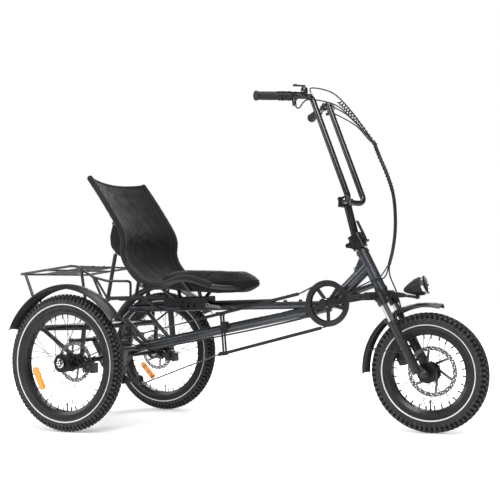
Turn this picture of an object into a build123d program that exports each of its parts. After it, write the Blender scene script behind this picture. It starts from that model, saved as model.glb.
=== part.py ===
"""Adult tricycle: two driven rear wheels, one sprung and steered front wheel, mesh seat on a sliding rail.

Row frame: +X points forward, +Y to the rider's left, +Z up. The origin lies on the ground, midway along
the overall length and on the centre plane. Millimetres.
"""

import os
from math import acos, atan2, cos, degrees, hypot, pi, radians, sin

from build123d import *

os.makedirs("parts", exist_ok=True)

# ---------------------------------------------------------------- driving dimensions
WHEELBASE = 1335
TRACK = 690
RACK_OVERHANG = 338
REAR_TYRE_R = 266
FRONT_TYRE_R = 212
TYRE_R = 31
TYRE_WALL = 4.5
RUNNING = 0.05

OVERALL_LENGTH = RACK_OVERHANG + WHEELBASE + FRONT_TYRE_R
REAR_X = RACK_OVERHANG - OVERALL_LENGTH / 2
FRONT_X = REAR_X + WHEELBASE
HALF_TRACK = TRACK / 2

# bottom bracket and chain line
BB_X, BB_Z = REAR_X + 980, 465
CHAIN_Y = -48
PITCH = 12.7
RING_TEETH, BIG_SPROCKET_TEETH = 40, 32
RING_R = RING_TEETH * PITCH / (2 * pi)
BIG_SPROCKET_R = BIG_SPROCKET_TEETH * PITCH / (2 * pi)
CRANK_LENGTH = 170
CRANK_RISE = 7.5
PEDAL_Y = 140

# rear axle line
SHAFT_R = 10
ROTOR_Y = 292
HOUSING_Y = 262
INNER_BEARINGS_Y = (-102, 52)
BEARING_R, BEARING_W = 21, 12
REAR_ROTOR_R, FRONT_ROTOR_R = 80, 90

# steering axis, leaning back from the vertical
HEAD_ANGLE = 25
HEAD_X, HEAD_Z = REAR_X + 1138, 578
HEAD_HALF = 80
STEERER_R = 14.3
LEG_Y = 62
LEG_A = 4
STANCHION_R = 12.7
LOWER_R = 17

# seat
RAIL_TOP = 487
POLE_Y, POLE_R = 190, 9
HINGE_X, HINGE_Z = REAR_X + 262, 558
STRUT_TOP = (REAR_X + 96, 812)
STRUT_FOOT = (REAR_X + 22, 506)
STRUT_Y = 100

# handlebar
STEM_SPLIT_T = 122
BAR_R = 11.1
BAR_CLAMP = (REAR_X + 1050, 0, 838)
BAR_LOW = (REAR_X + 1092, 80, 834)
BAR_HIGH = (REAR_X + 958, 80, 1232)
GRIP_END = (REAR_X + 813, 250, 1222)


# ---------------------------------------------------------------- helpers
def left_facing(x, y, z):
    """Plane square to the width: its own x runs forward and its normal points to the rider's left."""
    return Plane(origin=(x, y, z), x_dir=(1, 0, 0), z_dir=(0, 1, 0))


def across(radius, y_from, y_to, x, z, bore=0.0):
    """Disc, ring or shaft whose axis runs across the tricycle."""
    with BuildPart() as piece:
        with BuildSketch(left_facing(x, y_from, z)):
            Circle(radius)
            if bore:
                Circle(bore, mode=Mode.SUBTRACT)
        extrude(amount=y_to - y_from)
    return piece.part


def rod(start, end, radius, bore=0.0):
    """Straight round bar or tube between two points."""
    run = Vector(*end) - Vector(*start)
    with BuildPart() as piece:
        with BuildSketch(Plane(origin=start, z_dir=run)):
            Circle(radius)
            if bore:
                Circle(bore, mode=Mode.SUBTRACT)
        extrude(amount=run.length)
    return piece.part


def bent_bar(points, radius, bend, bore=0.0, closed=False):
    """Round bar along straight legs joined by arcs."""
    with BuildPart() as piece:
        with BuildLine() as path:
            FilletPolyline(*points, radius=bend, close=closed)
        with BuildSketch(Plane(origin=path.wire() @ 0, z_dir=path.wire() % 0)):
            Circle(radius)
            if bore:
                Circle(bore, mode=Mode.SUBTRACT)
        sweep(path=path.wire())
    return piece.part


def flat_bar(start, end, width, y_from, y_to, hole=0.0):
    """Flat strap in a plane y = constant, with round ends about two (x, z) points."""
    run = Vector(end[0] - start[0], end[1] - start[1])
    angle = degrees(atan2(run.Y, run.X))
    middle = ((start[0] + end[0]) / 2, (start[1] + end[1]) / 2)
    with BuildPart() as piece:
        with BuildSketch(Plane(origin=(0, y_to, 0), x_dir=(1, 0, 0), z_dir=(0, -1, 0))):
            with Locations(Location((middle[0], middle[1], 0), (0, 0, angle))):
                SlotCenterToCenter(run.length, width)
            if hole:
                with Locations(start, end):
                    Circle(hole, mode=Mode.SUBTRACT)
        extrude(amount=y_to - y_from)
    return piece.part


def steer_point(a, y, t):
    """Point from steering coordinates: a forward of the axis, y across, t up along the axis."""
    c, s = cos(radians(HEAD_ANGLE)), sin(radians(HEAD_ANGLE))
    return (HEAD_X + a * c - t * s, y, HEAD_Z + a * s + t * c)


def steer_plane(a, y, t):
    """Plane square to the steering axis, its x pointing forward."""
    c, s = cos(radians(HEAD_ANGLE)), sin(radians(HEAD_ANGLE))
    return Plane(origin=steer_point(a, y, t), x_dir=(c, 0, s), z_dir=(-s, 0, c))


def steer_tube(radius, t_from, t_to, a=0.0, y=0.0, bore=0.0):
    """Tube parallel to the steering axis."""
    return rod(steer_point(a, y, t_from), steer_point(a, y, t_to), radius, bore)


def seat_x(x):
    """Row x of a place measured forward from the rear axle."""
    return REAR_X + x


def save(part, name):
    """Label a finished piece and write its STEP file."""
    part.label = name
    export_step(part, f"parts/{name}.step")


# ---------------------------------------------------------------- main frame
LOWER_REAR = (seat_x(140), 0, 310)
LOWER_FRONT = (BB_X - 12, 0, 452)
UPPER_REAR = (seat_x(66), 0, 465)
UPPER_FRONT = (BB_X - 14, 0, 461)
LOWER_TUBE_R, UPPER_TUBE_R, TUBE_WALL = 19, 15, 3
APEX = (seat_x(34), 0, 428)
BB_SHELL_R, BB_SHELL_HALF, BB_BORE = 22, 34, 17.5
SPINDLE_R = 8.5
CAGE_SPACING = 64
CAGE_BOSSES = (seat_x(784), seat_x(784 + CAGE_SPACING))
CAGE_BORE_R, CAGE_BOSS_R, CAGE_BOSS_TOP, CAGE_DEPTH = 2.5, 7, 482, 14

frame_tubes = [
    rod(LOWER_REAR, LOWER_FRONT, LOWER_TUBE_R),
    rod(UPPER_REAR, UPPER_FRONT, UPPER_TUBE_R),
    rod((BB_X, 0, BB_Z), steer_point(-4, 0, 22), 23),
    rod((seat_x(1040), 0, 494), steer_point(-4, 0, -50), 11),
    bent_bar([(seat_x(84), 0, 466), APEX, (seat_x(2), 0, 330)], 11, 14),
    rod(APEX, (seat_x(146), 0, 318), 9),
    rod((seat_x(263), 0, 452), (seat_x(271), 0, 338), 12),
    rod((seat_x(146), 0, 452), (seat_x(252), 0, 342), 8),
]

with BuildPart() as main_frame:
    for tube in frame_tubes:
        add(tube)
    add(across(BB_SHELL_R, -BB_SHELL_HALF, BB_SHELL_HALF, BB_X, BB_Z))
    add(steer_tube(21.5, -HEAD_HALF, HEAD_HALF))
    for t in (-HEAD_HALF, HEAD_HALF - 10):
        add(steer_tube(24, t, t + 10))
    # collar with a pinch bolt where the front section plugs into the lower tube
    add(rod((seat_x(848), 0, 430.5), (seat_x(878), 0, 435.5), 24))
    # bracing gusset between the boom and the head tube
    with BuildSketch(Plane.XZ.offset(-5)):
        with BuildLine():
            Polyline(
                (seat_x(1062), 562), (seat_x(1096), 636), (seat_x(1120), 618), (seat_x(1108), 560),
                close=True,
            )
        make_face()
    extrude(amount=10)
    # threaded bosses for a bottle cage on top of the boom tube
    with Locations(*[Plane(origin=(x, 0, 470)) for x in CAGE_BOSSES]):
        Cylinder(CAGE_BOSS_R, CAGE_BOSS_TOP - 470, align=(Align.CENTER, Align.CENTER, Align.MIN))
    # rear foot that bolts to the axle carrier
    with BuildSketch(Plane.XZ.offset(-24)):
        with Locations((seat_x(8), 322)):
            RectangleRounded(54, 26, 6)
    extrude(amount=48)
    # hollow tubes, open at their rear ends
    lower_bore = rod((LOWER_REAR[0] - 1, 0, 309.8), (seat_x(840), 0, 428), LOWER_TUBE_R - TUBE_WALL)
    add(lower_bore, mode=Mode.SUBTRACT)
    upper_bore = rod((UPPER_REAR[0] - 1, 0, 465), (seat_x(930), 0, 461), UPPER_TUBE_R - TUBE_WALL)
    add(upper_bore, mode=Mode.SUBTRACT)
    with Locations(*[Plane(origin=(x, 0, CAGE_BOSS_TOP - CAGE_DEPTH)) for x in CAGE_BOSSES]):
        Cylinder(
            CAGE_BORE_R, CAGE_DEPTH + 1, align=(Align.CENTER, Align.CENTER, Align.MIN), mode=Mode.SUBTRACT,
        )
    add(across(BB_BORE, -BB_SHELL_HALF - 1, BB_SHELL_HALF + 1, BB_X, BB_Z), mode=Mode.SUBTRACT)
    add(steer_tube(18, -HEAD_HALF - 1, HEAD_HALF + 1), mode=Mode.SUBTRACT)
save(main_frame.part, "main_frame")

# ---------------------------------------------------------------- rear axle carrier
DECK_REAR, DECK_FRONT, DECK_Z = seat_x(-205), seat_x(25), 398
CARRIER_R, CARRIER_BEND = 11, 30
AXLE_Z = REAR_TYRE_R
DECK_Y = 250

deck_loop = bent_bar(
    [
        (DECK_REAR, DECK_Y, DECK_Z), (DECK_FRONT, DECK_Y, DECK_Z),
        (DECK_FRONT, -DECK_Y, DECK_Z), (DECK_REAR, -DECK_Y, DECK_Z),
    ],
    CARRIER_R, CARRIER_BEND, closed=True,
)
lower_cross = rod((seat_x(-52), -HOUSING_Y + 8, 345), (seat_x(-52), HOUSING_Y - 8, 345), 9)
upper_cross = rod((seat_x(-105), -DECK_Y, DECK_Z), (seat_x(-105), DECK_Y, DECK_Z), 9)

with BuildPart() as rear_subframe:
    add(deck_loop)
    add(lower_cross)
    add(upper_cross)
    # V-shaped arms and bearing housings at both ends
    for y in (-HOUSING_Y, HOUSING_Y):
        add(across(30, y - BEARING_W, y + BEARING_W, REAR_X, AXLE_Z))
        inner = y - 4 if y > 0 else y + 4
        low = (seat_x(-16), AXLE_Z + 20)
        add(rod((DECK_REAR + 12, inner, DECK_Z), (low[0] - 8, inner, low[1] - 8), 9))
        add(rod((DECK_FRONT - 4, inner, DECK_Z), (seat_x(8), inner, AXLE_Z + 22), 9))
        # tab for the brake caliper
        tab_y = y + BEARING_W - 4 if y > 0 else y - BEARING_W
        add(flat_bar((seat_x(20), AXLE_Z - 4), (seat_x(64), AXLE_Z - 18), 26, tab_y, tab_y + 4))
    # hangers for the two inner bearings
    for y in INNER_BEARINGS_Y:
        add(across(28, y - BEARING_W / 2, y + BEARING_W / 2, REAR_X, AXLE_Z))
        for x_top in (-52, 25):
            top = (seat_x(x_top), 345 if x_top < 0 else DECK_Z)
            add(flat_bar(top, (seat_x(x_top * 0.3), AXLE_Z + 16), 22, y - 4, y + 4))
        # side plates that carry the lower frame tube
        add(flat_bar((seat_x(10), AXLE_Z + 8), (seat_x(92), 300), 24, y - 4, y + 4))
    add(rod((seat_x(92), INNER_BEARINGS_Y[0], 300), (seat_x(92), INNER_BEARINGS_Y[1], 300), 10))
    add(rod((seat_x(92), 0, 300), (seat_x(150), 0, 312), 14))
    for y in (-HOUSING_Y, HOUSING_Y, *INNER_BEARINGS_Y):
        add(across(BEARING_R, y - 40, y + 40, REAR_X, AXLE_Z), mode=Mode.SUBTRACT)
save(rear_subframe.part, "rear_subframe")

with BuildPart() as axle_bearings:
    for y in (-HOUSING_Y, HOUSING_Y, *INNER_BEARINGS_Y):
        half = BEARING_W / 2
        add(across(BEARING_R, y - half, y + half, REAR_X, AXLE_Z, bore=SHAFT_R + RUNNING))
save(axle_bearings.part, "axle_bearings")

# headset bearings in the head tube and cartridge cups in the bottom bracket shell
with BuildPart() as bearing_cups:
    for t_from, t_flange in ((HEAD_HALF - 14, HEAD_HALF), (-HEAD_HALF, -HEAD_HALF - 6)):
        add(steer_tube(18, t_from, t_from + 14, bore=STEERER_R + RUNNING))
        add(steer_tube(22.5, t_flange, t_flange + 6, bore=STEERER_R + RUNNING))
    for y_in, y_flange in ((20, BB_SHELL_HALF), (-BB_SHELL_HALF, -BB_SHELL_HALF - 4)):
        add(across(BB_BORE, y_in, y_in + BB_SHELL_HALF - 20, BB_X, BB_Z, bore=SPINDLE_R + RUNNING))
        add(across(20, y_flange, y_flange + 4, BB_X, BB_Z, bore=SPINDLE_R + RUNNING))
save(bearing_cups.part, "bearing_cups")

# ---------------------------------------------------------------- seat rail
RAIL_FRONT, RAIL_REAR = seat_x(742), seat_x(90)
RAIL_LIP, RAIL_THICK = 16, 7

with BuildPart() as seat_rail:
    with BuildSketch(Plane.XY.offset(RAIL_TOP - RAIL_THICK)):
        with Locations(((RAIL_FRONT + RAIL_REAR) / 2, 0)):
            RectangleRounded(RAIL_FRONT - RAIL_REAR, 2 * RAIL_LIP, 6)
    extrude(amount=RAIL_THICK)
    # narrow web that carries the rail clear of the tube
    with BuildSketch(Plane.XY.offset(472)):
        with Locations(((RAIL_FRONT + RAIL_REAR) / 2, 0)):
            Rectangle(RAIL_FRONT - RAIL_REAR - 20, 10)
    extrude(amount=RAIL_TOP - 472 - 1)
    # index holes for the seat clamp
    with Locations(Plane.XY.offset(RAIL_TOP)):
        with GridLocations(40, 0, 15, 1):
            with Locations(((RAIL_FRONT + RAIL_REAR) / 2, 0)):
                Hole(2.5, depth=RAIL_THICK - 2)
save(seat_rail.part, "seat_rail")

# ---------------------------------------------------------------- chain drive
JOCKEY_R = 22
# (centre x, centre z, pitch radius, +1 where the chain turns anticlockwise seen from the right)
RING = (BB_X, BB_Z, RING_R, 1)
UPPER_GUIDE = (seat_x(850), 562, 60, -1)
BIG_SPROCKET = (REAR_X, AXLE_Z, BIG_SPROCKET_R, 1)
GUIDE_JOCKEY = (seat_x(50), 170, JOCKEY_R, -1)
TENSION_JOCKEY = (seat_x(138), 177, JOCKEY_R, 1)
LOWER_GUIDE = (seat_x(533), 127, 150, -1)
CHAIN_ROUTE = [RING, UPPER_GUIDE, BIG_SPROCKET, GUIDE_JOCKEY, TENSION_JOCKEY, LOWER_GUIDE]
PLATE_HALF, PLATE_T, CHAIN_HALF_W = 3.7, 1.0, 3.2
GUIDE_TUBE_R, GUIDE_TUBE_BORE = 6.3, 5.4


def tangent(first, second, grow=0.0):
    """Ends of the straight run that leaves one wheel and reaches the next, offset outward by grow."""
    (x1, z1, r1, s1), (x2, z2, r2, s2) = first, second
    r1, r2 = s1 * (r1 + s1 * grow), s2 * (r2 + s2 * grow)
    span = hypot(x2 - x1, z2 - z1)
    heading = atan2(z2 - z1, x2 - x1)
    normal = heading - acos((r1 - r2) / span)
    nx, nz = cos(normal), sin(normal)
    return (x1 + r1 * nx, z1 + r1 * nz), (x2 + r2 * nx, z2 + r2 * nz)


def chain_loop(grow):
    """Closed outline of the chain's route, grown outward from its pitch line."""
    following = CHAIN_ROUTE[1:] + CHAIN_ROUTE[:1]
    runs = [tangent(wheel, after, grow) for wheel, after in zip(CHAIN_ROUTE, following)]
    with BuildSketch(Plane.XZ) as loop:
        with BuildLine():
            for i, (start, end) in enumerate(runs):
                Line(start, end)
                x, z, r, turn = CHAIN_ROUTE[(i + 1) % len(CHAIN_ROUTE)]
                leave = runs[(i + 1) % len(runs)][0]
                a0 = atan2(end[1] - z, end[0] - x)
                a1 = atan2(leave[1] - z, leave[0] - x)
                sweep_angle = (a1 - a0) * turn % (2 * pi)
                reach = r + turn * grow
                middle = a0 + turn * sweep_angle / 2
                ThreePointArc(end, (x + reach * cos(middle), z + reach * sin(middle)), leave)
        make_face()
    return loop.sketch


outer_loop, inner_loop = chain_loop(PLATE_HALF), chain_loop(-PLATE_HALF)

upper_run = tangent(UPPER_GUIDE, BIG_SPROCKET)
lower_run = tangent(LOWER_GUIDE, RING)


def along(run, share):
    """Point part of the way along a straight chain run, on the chain line."""
    (x1, z1), (x2, z2) = run
    return (x1 + (x2 - x1) * share, CHAIN_Y, z1 + (z2 - z1) * share)


with BuildPart() as chain:
    for y in (CHAIN_Y - CHAIN_HALF_W, CHAIN_Y + CHAIN_HALF_W - PLATE_T):
        with BuildSketch(Plane.XZ.offset(-y - PLATE_T)):
            add(outer_loop)
            add(inner_loop, mode=Mode.SUBTRACT)
        extrude(amount=PLATE_T)
    # pins that join the two rows of plates along the open runs
    for run, first, last in ((upper_run, 0.06, 0.8), (lower_run, 0.08, 0.72)):
        for step in range(12):
            x, y, z = along(run, first + (last - first) * step / 11)
            add(across(1.8, CHAIN_Y - CHAIN_HALF_W, CHAIN_Y + CHAIN_HALF_W, x, z))
save(chain.part, "chain")

BRACKET_X = seat_x(520)


def height_at(run, x):
    """Height of a straight run at a given x."""
    (x1, z1), (x2, z2) = run
    return z1 + (z2 - z1) * (x - x1) / (x2 - x1)


with BuildPart() as chain_guide_tubes:
    add(rod(along(upper_run, 0.0), along(upper_run, 0.5), GUIDE_TUBE_R))
    add(rod(along(lower_run, 0.02), along(lower_run, 0.9), GUIDE_TUBE_R))
    # hanger plate beside the frame tube, with a saddle at each end
    top, bottom = height_at(upper_run, BRACKET_X), height_at(lower_run, BRACKET_X + 12)
    for x_shift, y in ((-6, -30), (6, -30)):
        add(flat_bar((BRACKET_X + x_shift, top), (BRACKET_X + 8 + x_shift, bottom), 7, y, y + 4))
    for z, x in ((top, BRACKET_X), (bottom, BRACKET_X + 10)):
        with BuildSketch(left_facing(x, -56, z)):
            RectangleRounded(26, 15, 4)
        extrude(amount=30)
    # clamp block round the lower frame tube
    with BuildSketch(left_facing(BRACKET_X + 8, -36, 388)):
        RectangleRounded(26, 34, 4)
    extrude(amount=24)
    add(rod(along(upper_run, -0.01), along(upper_run, 0.51), GUIDE_TUBE_BORE), mode=Mode.SUBTRACT)
    add(rod(along(lower_run, 0.01), along(lower_run, 0.92), GUIDE_TUBE_BORE), mode=Mode.SUBTRACT)
    add(rod(LOWER_REAR, LOWER_FRONT, LOWER_TUBE_R), mode=Mode.SUBTRACT)
save(chain_guide_tubes.part, "chain_guide_tubes")

# differential case with the sprocket carrier, turning on the two half shafts
with BuildPart() as differential:
    add(across(40, -26, 36, REAR_X, AXLE_Z))
    add(across(17, -90, -26, REAR_X, AXLE_Z))
    fillet(differential.edges().filter_by(GeomType.CIRCLE).filter_by(lambda e: e.radius > 39), 5)
    with Locations(left_facing(REAR_X, 36, AXLE_Z)):
        with PolarLocations(30, 6):
            CounterBoreHole(2.5, 4.5, 4, depth=12)
    add(across(SHAFT_R + RUNNING, -91, 37, REAR_X, AXLE_Z), mode=Mode.SUBTRACT)
save(differential.part, "differential")

SPROCKET_TEETH = (32, 28, 24, 21, 18, 16, 14)
SPROCKET_STEP = 5.4
TOOTH_T = 2.0


def toothed_disc(teeth, y_middle, x, z, bore, thickness=TOOTH_T):
    """Sprocket whose tooth gaps are round and whose tips stay inside the chain plates."""
    pitch_r = teeth * PITCH / (2 * pi)
    with BuildPart() as disc:
        plane = left_facing(x, y_middle - thickness / 2, z)
        with BuildSketch(plane):
            Circle(pitch_r + 2.6)
            with PolarLocations(pitch_r + 0.6, teeth):
                Circle(3.9, mode=Mode.SUBTRACT)
            Circle(bore, mode=Mode.SUBTRACT)
        extrude(amount=thickness)
    return disc.part


with BuildPart() as cassette:
    for i, teeth in enumerate(SPROCKET_TEETH):
        y = CHAIN_Y - i * SPROCKET_STEP
        add(toothed_disc(teeth, y, REAR_X, AXLE_Z, 17))
        if i + 1 < len(SPROCKET_TEETH):
            add(across(20, y - SPROCKET_STEP, y, REAR_X, AXLE_Z, bore=17))
save(cassette.part, "cassette")

with BuildPart() as derailleur:
    # cage plates either side of the two jockey wheels
    for y in (CHAIN_Y - 9, CHAIN_Y + 6):
        add(flat_bar(GUIDE_JOCKEY[:2], TENSION_JOCKEY[:2], 20, y, y + 2))
    for x, z, _, _ in (GUIDE_JOCKEY, TENSION_JOCKEY):
        add(across(16, CHAIN_Y - 1, CHAIN_Y + 1, x, z))
        add(across(6, CHAIN_Y - 9, CHAIN_Y + 8, x, z))
        add(across(4, CHAIN_Y - 13, CHAIN_Y - 8, x, z))
    # parallelogram body up to the hanger bolt on the axle carrier
    add(flat_bar(GUIDE_JOCKEY[:2], (seat_x(72), 226), 22, CHAIN_Y - 26, CHAIN_Y - 9))
    add(flat_bar((seat_x(72), 226), (seat_x(88), 292), 18, CHAIN_Y - 52, CHAIN_Y - 20))
    add(across(9, INNER_BEARINGS_Y[0] + 4.5, CHAIN_Y - 20, seat_x(88), 292))
save(derailleur.part, "derailleur")

# ---------------------------------------------------------------- rear rack and fenders
RACK_Y, RACK_R = 224, 5
RACK_REAR = seat_x(-333)
RACK_RAIL_REAR_Z, RACK_HUMP_Z = 623, 646


def rack_side(y):
    """Side rail from the rear bar over the hump, forward beside the seat, then down to the low rail."""
    inner = y * RACK_TAPER
    return [
        (RACK_REAR, y, RACK_RAIL_REAR_Z), (seat_x(-64), y, RACK_HUMP_Z), (seat_x(-34), y, RACK_HUMP_Z - 4),
        (seat_x(44), y, 598), (seat_x(90), y * 0.86, 580), (seat_x(166), inner, 576),
        (seat_x(164), inner, RACK_FOOT_Z),
    ]


RACK_TAPER = 0.62
RACK_FOOT_X, RACK_FOOT_Z = seat_x(46), 512
rack_loop = bent_bar(rack_side(-RACK_Y)[::-1] + rack_side(RACK_Y), RACK_R, 13)

with BuildPart() as rear_rack:
    add(rack_loop)
    for y in (-75, 0, 75):
        add(rod((RACK_REAR, y, RACK_RAIL_REAR_Z), (seat_x(-66), y, RACK_HUMP_Z), 4.4))
    for x, z in ((-72, RACK_HUMP_Z - 1), (-195, (RACK_RAIL_REAR_Z + RACK_HUMP_Z) / 2)):
        add(rod((seat_x(x), -RACK_Y + 1, z), (seat_x(x), RACK_Y - 1, z), 4.7))
    for y in (-RACK_Y, RACK_Y):
        inner = y * RACK_TAPER
        # legs down to the corners of the axle carrier
        add(rod((seat_x(-306), y, 624), (DECK_REAR - 2, y * 1.05, DECK_Z + 8), 6))
        add(rod((seat_x(-14), y, 634), (DECK_FRONT, y * 1.04, DECK_Z + 8), 6))
        # drop bar and the low rail that ties the rack to the frame
        add(rod((seat_x(50), y * 0.97, 596), (RACK_FOOT_X + 2, inner, RACK_FOOT_Z), 4.4))
        add(rod((RACK_FOOT_X, inner, RACK_FOOT_Z), (seat_x(228), inner, RACK_FOOT_Z - 2), 6))
        add(rod((seat_x(222), inner, RACK_FOOT_Z - 2), (seat_x(222), y * 0.045, 455), 6))
save(rear_rack.part, "rear_rack")

FENDER_REAR_R, FENDER_FRONT_R, FENDER_HALF, FENDER_T = 305, 248, 37, 2


def fender(x, z, outer_r, start, end, half=FENDER_HALF):
    """Arched mudguard about an axle, centred on y = 0, from one angle to another above the x axis."""
    drop = 18
    with BuildPart() as guard:
        with BuildSketch(Plane.YZ):
            with BuildLine():
                top = outer_r
                Polyline((half - FENDER_T, top - drop), (half, top - drop))
                ThreePointArc((half, top - drop), (0, top), (-half, top - drop))
                Polyline((-half, top - drop), (-half + FENDER_T, top - drop))
                inner = half - FENDER_T
                ThreePointArc((-inner, top - drop), (0, top - FENDER_T), (inner, top - drop))
            make_face()
        revolve(axis=Axis.Y, revolution_arc=end - start)
    return guard.part.rotate(Axis.Y, 90 - end).translate((x, 0, z))


with BuildPart() as rear_fenders:
    for y in (-HALF_TRACK, HALF_TRACK):
        add(fender(REAR_X, AXLE_Z, FENDER_REAR_R, 34, 154).translate((0, y, 0)))
        side = 1 if y > 0 else -1
        inner_edge = side * (HALF_TRACK - FENDER_HALF + 1.5)
        for angle, reach in ((122, 285), (58, 285)):
            end = (REAR_X + reach * cos(radians(angle)), inner_edge, AXLE_Z + reach * sin(radians(angle)))
            root = (seat_x(-205 if angle > 90 else 25), side * (DECK_Y + 6), DECK_Z + 9)
            add(rod(root, end, 4))
save(rear_fenders.part, "rear_fenders")


# ---------------------------------------------------------------- wheels
def tyre(outer_r, x, z, y):
    """Hollow tyre carcass, open towards the rim."""
    middle = outer_r - TYRE_R
    with BuildPart() as piece:
        with BuildSketch(Plane.YZ):
            with Locations((0, middle)):
                Circle(TYRE_R)
            with Locations((0, middle - 24)):
                Rectangle(34, 20)
            with Locations((0, middle + 0.5)):
                Circle(TYRE_R - TYRE_WALL, mode=Mode.SUBTRACT)
            with Locations((0, middle - 28)):
                Rectangle(26, 30, mode=Mode.SUBTRACT)
        revolve(axis=Axis.Y)
    return piece.part.translate((x, y, z))


def rim(bead_r, x, z, y):
    """Deep single channel rim with hooked flanges and a valve hole."""
    with BuildPart() as piece:
        with BuildSketch(Plane.YZ):
            with BuildLine():
                Polyline(
                    (0, bead_r - 9), (17.2, bead_r - 7.2), (17.2, bead_r + 1), (20, bead_r + 1),
                    (20, bead_r - 9), (14, bead_r - 21), (0, bead_r - 22), close=True,
                )
            make_face()
        revolve(axis=Axis.Y)
        mirror(about=Plane.XZ)
        with Locations(Plane(origin=(0, 0, -bead_r - 8), z_dir=(0, 0, -1))):
            Hole(3.2, depth=20)
    return piece.part.translate((x, y, z))


def spoke_rods(count, flange_r, flange_y, rim_r, x, z, y):
    """Crossed spokes, laced alternately to the two flanges; leading and trailing rows stay apart."""
    rods = []
    for i in range(count):
        side = 1 if i % 2 else -1
        lead = 1 if (i // 2) % 2 else -1
        rim_angle = 2 * pi * (i + 0.5) / count
        hub_angle = rim_angle + lead * radians(66)
        shift = lead * 1.3
        start = (x + flange_r * cos(hub_angle), y + side * flange_y + shift, z + flange_r * sin(hub_angle))
        end = (x + rim_r * cos(rim_angle), y + side * 3.5 + shift, z + rim_r * sin(rim_angle))
        rods.append(rod(start, end, 1.0))
    return rods


def rotor(outer_r, x, z, y, bore, arms=6):
    """Brake disc with drilled band and swept carrier arms."""
    band = 15
    with BuildPart() as piece:
        plane = left_facing(x, y - 0.9, z)
        with BuildSketch(plane):
            Circle(outer_r)
            Circle(outer_r - band, mode=Mode.SUBTRACT)
            Circle(30)
            with PolarLocations((outer_r - band + 28) / 2, arms, start_angle=15):
                Rectangle(outer_r - band - 24, 9, rotation=24)
            for drop, size, turn in ((4, 1.7, 0), (8.5, 2.1, 5), (12.4, 1.5, 10)):
                with PolarLocations(outer_r - drop, 24, start_angle=turn):
                    Circle(size, mode=Mode.SUBTRACT)
            with PolarLocations(22, 6):
                Circle(2.6, mode=Mode.SUBTRACT)
            Circle(bore, mode=Mode.SUBTRACT)
        extrude(amount=1.8)
    return piece.part


BEAD_DROP = 58
REAR_BEAD_R, FRONT_BEAD_R = REAR_TYRE_R - BEAD_DROP, FRONT_TYRE_R - BEAD_DROP
HUB_FLANGE_R, HUB_FLANGE_Y, SPOKE_HOLE_R = 36, 27, 31
REAR_SPOKES, FRONT_SPOKES = 36, 28
REFLECTOR_ANGLE, REFLECTOR_REACH = {-1: 206, 1: 222}, 138

for side, name in ((-1, "right"), (1, "left")):
    wheel_y = side * HALF_TRACK
    save(tyre(REAR_TYRE_R, REAR_X, AXLE_Z, wheel_y), f"rear_{name}_tyre")
    save(rim(REAR_BEAD_R, REAR_X, AXLE_Z, wheel_y), f"rear_{name}_rim")

    rods = spoke_rods(REAR_SPOKES, SPOKE_HOLE_R, HUB_FLANGE_Y, REAR_BEAD_R - 20, REAR_X, AXLE_Z, wheel_y)
    with BuildPart() as spokes:
        for piece in rods:
            add(piece)
    save(spokes.part, f"rear_{name}_spokes")

    with BuildPart() as hub:
        outward = Plane(origin=(REAR_X, 0, AXLE_Z), x_dir=(1, 0, 0), z_dir=(0, side, 0))
        with BuildSketch(outward.offset(4)):
            Circle(SHAFT_R)
        extrude(amount=HALF_TRACK + 46 - 4)
        with BuildSketch(outward.offset(ROTOR_Y + 1)):
            Circle(27)
        extrude(amount=14)
        with BuildSketch(outward.offset(ROTOR_Y + 14)):
            Circle(20)
        extrude(amount=HALF_TRACK + 34 - ROTOR_Y - 14)
        for offset_y in (-HUB_FLANGE_Y, HUB_FLANGE_Y):
            with BuildSketch(outward.offset(HALF_TRACK + offset_y - 3.5)):
                Circle(HUB_FLANGE_R)
                with PolarLocations(26.5, 9):
                    Circle(2.2, mode=Mode.SUBTRACT)
            extrude(amount=7)
        with BuildSketch(outward.offset(HALF_TRACK + 37)):
            RegularPolygon(14, 6)
        extrude(amount=11)
    save(hub.part, f"rear_{name}_hub")

    save(rotor(REAR_ROTOR_R, REAR_X, AXLE_Z, side * ROTOR_Y, 12), f"rear_{name}_rotor")

    # wide-angle reflector clipped between the spokes, lying along the rim
    turn = radians(REFLECTOR_ANGLE[side])
    with BuildPart() as reflector:
        centre = (
            REAR_X + REFLECTOR_REACH * cos(turn), wheel_y + side * 13, AXLE_Z + REFLECTOR_REACH * sin(turn),
        )
        with BuildSketch(Plane(origin=centre, x_dir=(-sin(turn), 0, cos(turn)), z_dir=(0, side, 0))):
            SlotOverall(96, 26)
        extrude(amount=9)
        fillet(reflector.faces().sort_by(Axis.Y)[0 if side < 0 else -1].edges(), 3)
    save(reflector.part, f"rear_{name}_reflector")

REAR_ROTOR_CALIPER = (seat_x(66), 248)
with BuildPart() as rear_calipers:
    for side in (-1, 1):
        x, z = REAR_ROTOR_CALIPER
        for gap_side in (-1, 1):
            y_near, y_far = ROTOR_Y + gap_side * 1.6, ROTOR_Y + gap_side * 15
            y_low, y_high = sorted((side * y_near, side * y_far))
            with BuildSketch(left_facing(x, y_low, z)):
                RectangleRounded(38, 46, 8)
            extrude(amount=y_high - y_low)
        # bridge over the rim of the disc
        y_low, y_high = sorted((side * (ROTOR_Y - 15), side * (ROTOR_Y + 15)))
        with BuildSketch(left_facing(x + 26, y_low, z - 6)):
            RectangleRounded(18, 40, 5)
        extrude(amount=y_high - y_low)
        # actuating arm on the outer face
        arm_low, arm_high = sorted((side * (ROTOR_Y - 15), side * (ROTOR_Y - 19)))
        add(flat_bar((x, z), (x + 16, z + 34), 10, arm_low, arm_high))
    for side in (-1, 1):
        # slot that the disc turns in
        low, high = sorted((side * (ROTOR_Y - 1.6), side * (ROTOR_Y + 1.6)))
        add(across(REAR_ROTOR_R + 1.5, low, high, REAR_X, AXLE_Z), mode=Mode.SUBTRACT)
save(rear_calipers.part, "rear_calipers")

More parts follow.
